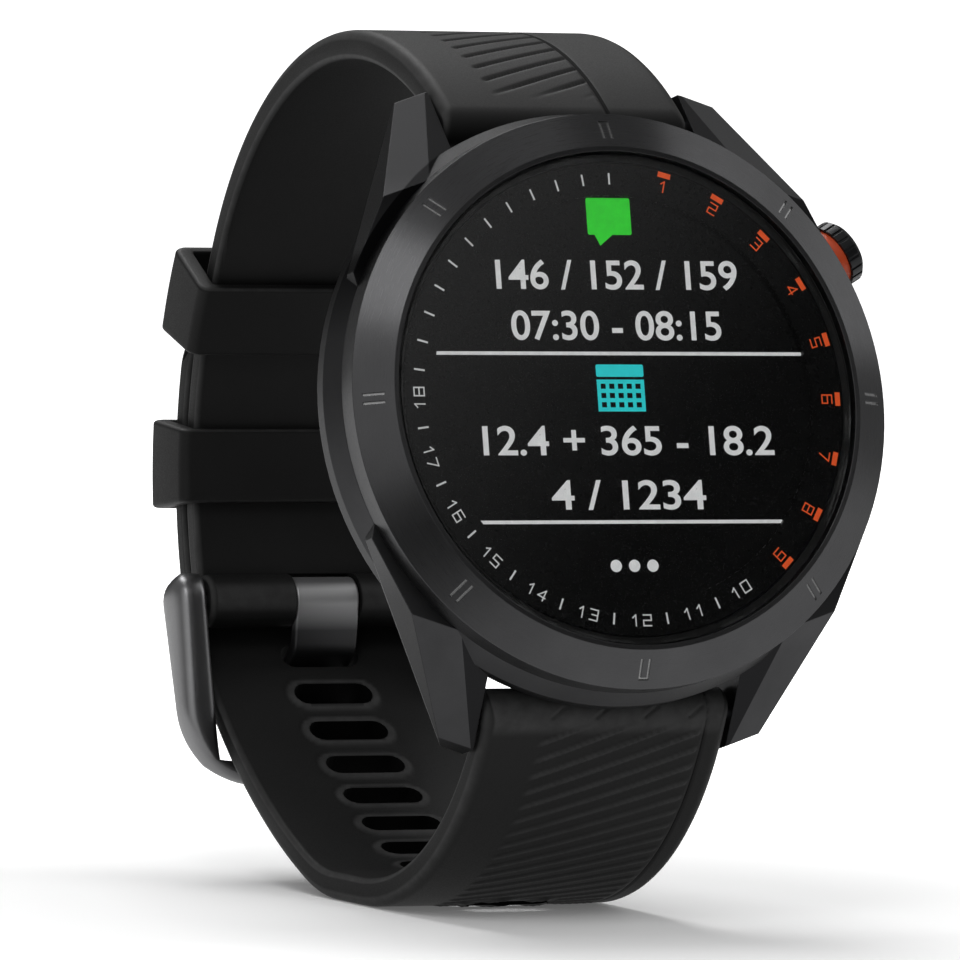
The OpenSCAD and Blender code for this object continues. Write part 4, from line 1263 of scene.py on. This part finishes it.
def springs():
    spring("button_spring")
    for end in ("upper", "lower"):
        spring("release_spring_" + end)


# Dial print: 18 holes round the ring, the first nine each with a block, and ticks

PRINT_Z = -0.28
HOLES = 18
HOLE_TURN = 15
NUMERAL_R = 16.1
DIGIT_H = 0.88
DIGIT_W = 0.7
DIGIT_GAP = 0.32
STROKE = 0.1
BLOCK_R = 16.95
BLOCK_HALF = 0.2
BLOCK_W = 1.0
TICK_HALF = 0.42
TICK_W = 0.14
# Ticks between the last nine holes, then on round to 12 o'clock
TICKS = [HOLE_TURN * (k + 0.5) for k in range(10, HOLES)]
TICKS += [HOLE_TURN * (HOLES + 0.5 + k / 2) for k in range(12)]
# Strokes of squarish digits on a grid of 0 to 1 across and 0 to 1 up
DIGITS = {
    "0": [[(0, 0), (1, 0), (1, 1), (0, 1), (0, 0)]],
    "1": [[(0.3, 0.75), (0.7, 1), (0.7, 0)]],
    "2": [[(0, 1), (1, 1), (1, 0.5), (0, 0.5), (0, 0), (1, 0)]],
    "3": [[(0, 1), (1, 1), (1, 0), (0, 0)], [(0.25, 0.5), (1, 0.5)]],
    "4": [[(0.8, 0), (0.8, 1), (0, 0.3), (1, 0.3)]],
    "5": [[(1, 1), (0, 1), (0, 0.5), (1, 0.5), (1, 0), (0, 0)]],
    "6": [[(1, 1), (0, 1), (0, 0), (1, 0), (1, 0.55), (0, 0.55)]],
    "7": [[(0, 1), (1, 1), (0.35, 0)]],
    "8": [[(0, 0), (1, 0), (1, 1), (0, 1), (0, 0)], [(0, 0.5), (1, 0.5)]],
    "9": [[(0, 0), (1, 0), (1, 1), (0, 1), (0, 0.45), (1, 0.45)]],
}


class Sheet:
    """Flat print collected as polygons in a plane of the dial."""

    def __init__(self, z):
        self.z = z
        self.points = []
        self.faces = []

    def polygon(self, outline):
        first = len(self.points)
        self.points.extend(at_head(x, y, self.z) for x, y in outline)
        self.faces.append(list(range(first, first + len(outline))))

    def stroke(self, line, width, place):
        """A line of the given width with square joints, mapped by place."""
        for a, b in zip(line, line[1:]):
            a, b = np.array(a, float), np.array(b, float)
            ahead = unit(b - a) * width / 2
            side = quarter(ahead)
            a, b = a - ahead, b + ahead
            self.polygon([place(p) for p in (a - side, b - side, b + side, a + side)])

    def done(self, name, finish_name, slot):
        piece(name, self.points, self.faces, finish_name, ROOT, smooth=False)


def numeral(sheet, text, angle, sense):
    """Digits across the ring at a clock angle, with tops outward for a sense of 1 or inward for -1."""
    out, right = clock(angle)
    width = len(text) * (DIGIT_W + DIGIT_GAP) - DIGIT_GAP
    for i, digit in enumerate(text):
        start = -width / 2 + i * (DIGIT_W + DIGIT_GAP)

        def place(p):
            return out * NUMERAL_R + sense * (right * (start + p[0]) + out * (p[1] - DIGIT_H / 2))
        for line in DIGITS[digit]:
            scaled = [(STROKE / 2 + x * (DIGIT_W - STROKE), STROKE / 2 + y * (DIGIT_H - STROKE))
                      for x, y in line]
            sheet.stroke(scaled, STROKE, place)


def bar(sheet, angle, middle, half, width):
    """A radial bar on the ring."""
    out, right = clock(angle)
    corners = box(-width / 2, middle - half, width / 2, middle + half)
    sheet.polygon([out * r + right * x for x, r in corners])


def dial_print():
    orange, white = Sheet(PRINT_Z), Sheet(PRINT_Z)
    for hole in range(1, HOLES + 1):
        angle = hole * HOLE_TURN
        if hole < 10:
            numeral(orange, str(hole), angle, 1)
            bar(orange, angle, BLOCK_R, BLOCK_HALF, BLOCK_W)
        else:
            numeral(white, str(hole), angle, 1 if hole == HOLES else -1)
    for angle in TICKS:
        bar(white, angle, NUMERAL_R, TICK_HALF, TICK_W)
    orange.done("front_nine_print", "print_orange_painted_glow", "dial_print")
    white.done("back_nine_print", "print_white_painted_glow", "dial_print")


# Display: boxes are given as left, low, right and high

SCREEN_Z = -0.685
TEXT_H = 2.1
# The font's size for digits of height 1, and how far it is drawn bolder
FONT_SIZE = 1.42
FONT_BOLD = 0.02
# Lines of digits, each with its height on the display and its width
TEXT_LINES = (
    ("146 / 152 / 159", 9.0, 19.1),
    ("07:30 - 08:15", 5.3, 16.6),
    ("12.4 + 365 - 18.2", -3.1, 23.0),
    ("4 / 1234", -7.05, 12.2),
)
# Rules, each with its height on the display and half its length
RULES = ((3.38, 14.5), (-8.89, 12.0))
RULE_W = 0.26
DOT_PITCH = 1.45
DOT_Y = -12.08
DOT_R = 0.45
BUBBLE = (-1.8, 12.06, 1.68, 14.76)
BUBBLE_ROUND = 0.15
BUBBLE_TIP = ((-1.3, 12.1), (0.2, 12.1), (-0.87, 11.26))
PAGE = (-1.95, -0.85, 1.8, 2.58)
PAGE_ROUND = 0.12
PAGE_HEAD = 0.9
PAGE_GAP = 0.2
PAGE_LINE = 0.3
PAGE_THIN = 0.28
PAGE_ROWS = 3
PAGE_COLUMNS = 5


def screen_text(name, text, y, width):
    """A line of digits on the display, centred at height y and drawn to a width."""
    curve = bpy.data.curves.new(name, "FONT")
    curve.body = text
    curve.align_x = "CENTER"
    curve.align_y = "CENTER"
    curve.size = TEXT_H * FONT_SIZE * MM
    curve.offset = TEXT_H * FONT_BOLD * MM
    curve.materials.append(MATERIALS["screen_white"])
    item = new_object(name, curve)
    bpy.context.view_layer.update()
    stretch = width * MM / item.dimensions.x
    place = Matrix.Translation(at_head(0, y, SCREEN_Z)) @ HEAD_AXES.to_4x4()
    item.matrix_world = place @ Matrix.Diagonal((stretch, 1, 1, 1))
    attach(item, ROOT)


def screen_rules():
    sheet = Sheet(SCREEN_Z)
    for y, half in RULES:
        sheet.polygon(round_box(-half, y - RULE_W / 2, half, y + RULE_W / 2, RULE_W / 4, 6))
    for middle in (-DOT_PITCH, 0, DOT_PITCH):
        sheet.polygon([(middle + x, DOT_Y + y) for x, y in circle(DOT_R, 24)])
    sheet.done("screen_rules", "screen_white", "panel_glass")


def screen_message():
    sheet = Sheet(SCREEN_Z)
    sheet.polygon(round_box(*BUBBLE, BUBBLE_ROUND, 6))
    sheet.polygon(BUBBLE_TIP)
    sheet.done("screen_message", "screen_green", "panel_glass")


def screen_calendar():
    """A page with a heading over a grid of days."""
    sheet = Sheet(SCREEN_Z)
    left, low, right, high = PAGE
    sheet.polygon(round_box(left, high - PAGE_HEAD, right, high, PAGE_ROUND, 6))
    top = high - PAGE_HEAD - PAGE_GAP
    row = (top - low - PAGE_LINE) / PAGE_ROWS
    column = (right - left - PAGE_LINE) / PAGE_COLUMNS
    for x in (left, right - PAGE_LINE):
        sheet.polygon(box(x, low, x + PAGE_LINE, top))
    for k in range(PAGE_ROWS + 1):
        y = low + k * row
        sheet.polygon(box(left + PAGE_LINE, y, right - PAGE_LINE, y + PAGE_LINE))
    for k in range(PAGE_ROWS):
        y = low + k * row
        for i in range(1, PAGE_COLUMNS):
            x = left + i * column
            sheet.polygon(box(x, y + PAGE_LINE, x + PAGE_THIN, y + row))
    sheet.done("screen_calendar", "screen_cyan", "panel_glass")


def display():
    for number, line in enumerate(TEXT_LINES, 1):
        screen_text("screen_line_" + str(number), *line)
    screen_rules()
    screen_message()
    screen_calendar()


# Camera, fitted to the photo: place in metres, lens in millimetres and roll in degrees

CAMERA_AT = (-0.33067, -0.74531, 0.069457)
CAMERA_AIM = Vector((0.406614, 0.912395, -0.046904))
CAMERA_ROLL = 1.08
CAMERA_LENS = 412.27


def camera():
    view = bpy.data.cameras.new("camera")
    view.sensor_width = 36
    view.lens = CAMERA_LENS
    view.clip_end = 400
    item = new_object("camera", view)
    item.location = CAMERA_AT
    item.rotation_mode = "QUATERNION"
    roll = Quaternion((0, 0, 1), math.radians(CAMERA_ROLL))
    item.rotation_quaternion = CAMERA_AIM.to_track_quat("-Z", "Y") @ roll
    bpy.context.scene.camera = item


# Floor: distances are in metres from under the watch

FLOOR_HALF = 150.0
FLOOR_SHADE = 0.92
# Light that the floor sends to the eye beside what it scatters, under the watch and far away
GLOW_NEAR = 0.1
GLOW_FAR = 1.0
GLOW_REACH = (0.03, 0.17)
# Share of the light that the floor scatters back up onto the watch
BOUNCE = 0.4
# Level of the floor in reflections, beside the watch and past a dark flag in front of it
MIRROR_NEAR = 1.1
MIRROR_FAR = 0.03
FLAG_WAY = (-0.42, -0.9, 0.0)
FLAG_REACH = (0.055, 0.13)
# Share of that level in the watch's own shadow
MIRROR_UNDER = 0.35
SHADOW_REACH = (0.018, 0.045)


def glow(tree, strength):
    return add(tree, "Emission", {"Color": grey(1), "Strength": strength}).outputs[0]


def floor():
    """A pale floor that is seen, scatters and is mirrored each at its own level."""
    mesh = bpy.data.meshes.new("floor")
    corners = box(-FLOOR_HALF, -FLOOR_HALF, FLOOR_HALF, FLOOR_HALF)
    mesh.from_pydata([(x, y, 0) for x, y in corners], [], [(0, 1, 2, 3)])
    material, tree = new_tree("floor")
    path = add(tree, "LightPath").outputs
    place = add(tree, "NewGeometry").outputs["Position"]
    away = length_of(tree, place)
    seen = calculate(tree, "MAXIMUM", path["Is Camera Ray"], path["Is Transmission Ray"])
    to_eye = product(tree, seen, spread(tree, away, GLOW_NEAR, GLOW_FAR, *GLOW_REACH))
    shade = mix_colour(tree, path["Is Diffuse Ray"], grey(FLOOR_SHADE), grey(BOUNCE))
    diffuse = add(tree, "BsdfDiffuse", {"Color": shade}).outputs[0]
    both = add(tree, "AddShader", {0: diffuse, 1: glow(tree, to_eye)}).outputs[0]
    level = product(tree, spread(tree, dot(tree, place, FLAG_WAY), MIRROR_NEAR, MIRROR_FAR, *FLAG_REACH),
                    spread(tree, away, MIRROR_UNDER, 1, *SHADOW_REACH))
    shown = add(tree, "MixShader", {0: path["Is Glossy Ray"], 1: both, 2: glow(tree, level)})
    add(tree, "OutputMaterial", {"Surface": shown.outputs[0]})
    mesh.materials.append(material)
    item = new_object("floor", mesh)


# Studio: ways are directions from the watch, with the cosines over which each level changes

# The lens mirrors the soft edge between the pale and the dark half of the studio
EDGE_WAY = Vector((-0.77, 0.138, 0.625))
EDGE_SPAN = (-0.232, -0.1935)
EDGE_LEVELS = (0.06, 1.0)
PANEL_WAY = Vector((-0.54, -0.77, 0.33))
PANEL_SPAN = (0.6, 0.95)
PANEL_LEVELS = (0.28, 0.9)
REAR_WAY = Vector((0.3, 0.94, 0.15))
REAR_SPAN = (0.8, 0.92)
REAR_LEVELS = (1.0, 0.15)
RIGHT_WAY = Vector((0.98, -0.1, 0.15))
RIGHT_SPAN = (0.88, 0.97)
RIGHT_LEVELS = (0, 0.45)
# The point in metres that the lamps look at
LAMP_AIM = Vector((0, 0, 0.035))


def softbox(name, way, distance, size, power):
    """An area lamp that looks at the watch from a direction."""
    lamp = bpy.data.lights.new(name, "AREA")
    lamp.shape = "RECTANGLE"
    lamp.size, lamp.size_y = size
    lamp.energy = power
    item = new_object(name, lamp)
    way = Vector(way).normalized()
    item.location = LAMP_AIM + distance * way
    item.rotation_euler = (-way).to_track_quat("-Z", "Y").to_euler()


def world():
    """A white backdrop to the eye, and a studio of pale and dark sides in reflections."""
    scene = bpy.context.scene
    scene.world = bpy.data.worlds.new("studio")
    scene.world.use_nodes = True
    tree = scene.world.node_tree
    tree.nodes.clear()
    way = add(tree, "TexCoord").outputs["Generated"]
    half = add(tree, "MapRange", {
        "Value": dot(tree, way, EDGE_WAY), "From Min": EDGE_SPAN[0], "From Max": EDGE_SPAN[1],
        "To Min": EDGE_LEVELS[0], "To Max": EDGE_LEVELS[1]}, interpolation_type="SMOOTHSTEP")
    level = product(tree, half.outputs["Result"],
                    spread(tree, dot(tree, way, PANEL_WAY), *PANEL_LEVELS, *PANEL_SPAN),
                    spread(tree, dot(tree, way, REAR_WAY), *REAR_LEVELS, *REAR_SPAN))
    beside = spread(tree, dot(tree, way, RIGHT_WAY), *RIGHT_LEVELS, *RIGHT_SPAN)
    level = calculate(tree, "ADD", level, beside)
    strength = calculate(tree, "MAXIMUM", level, add(tree, "LightPath").outputs["Is Camera Ray"])
    back = add(tree, "Background", {"Color": grey(1), "Strength": strength})
    add(tree, "OutputWorld", {"Surface": back.outputs[0]})
    scene.view_settings.view_transform = "Standard"


def studio():
    camera()
    floor()
    world()
    softbox("key", way=(-0.4, -0.6, 0.7), distance=0.7, size=(0.16, 0.24), power=0.55)
    softbox("top", way=(0.05, 0.6, 1.0), distance=0.8, size=(0.42, 0.6), power=4.3)
    softbox("right", way=(0.85, 0.0, 0.6), distance=0.8, size=(0.3, 0.6), power=0.9)


studio()
dress_nodes()
upper_strap()
lower_strap()
for keeper_name, keeper_middle in KEEPERS.items():
    keeper(keeper_name, keeper_middle)
buckle_frame()
buckle_tang()
springs()
dial_print()
display()
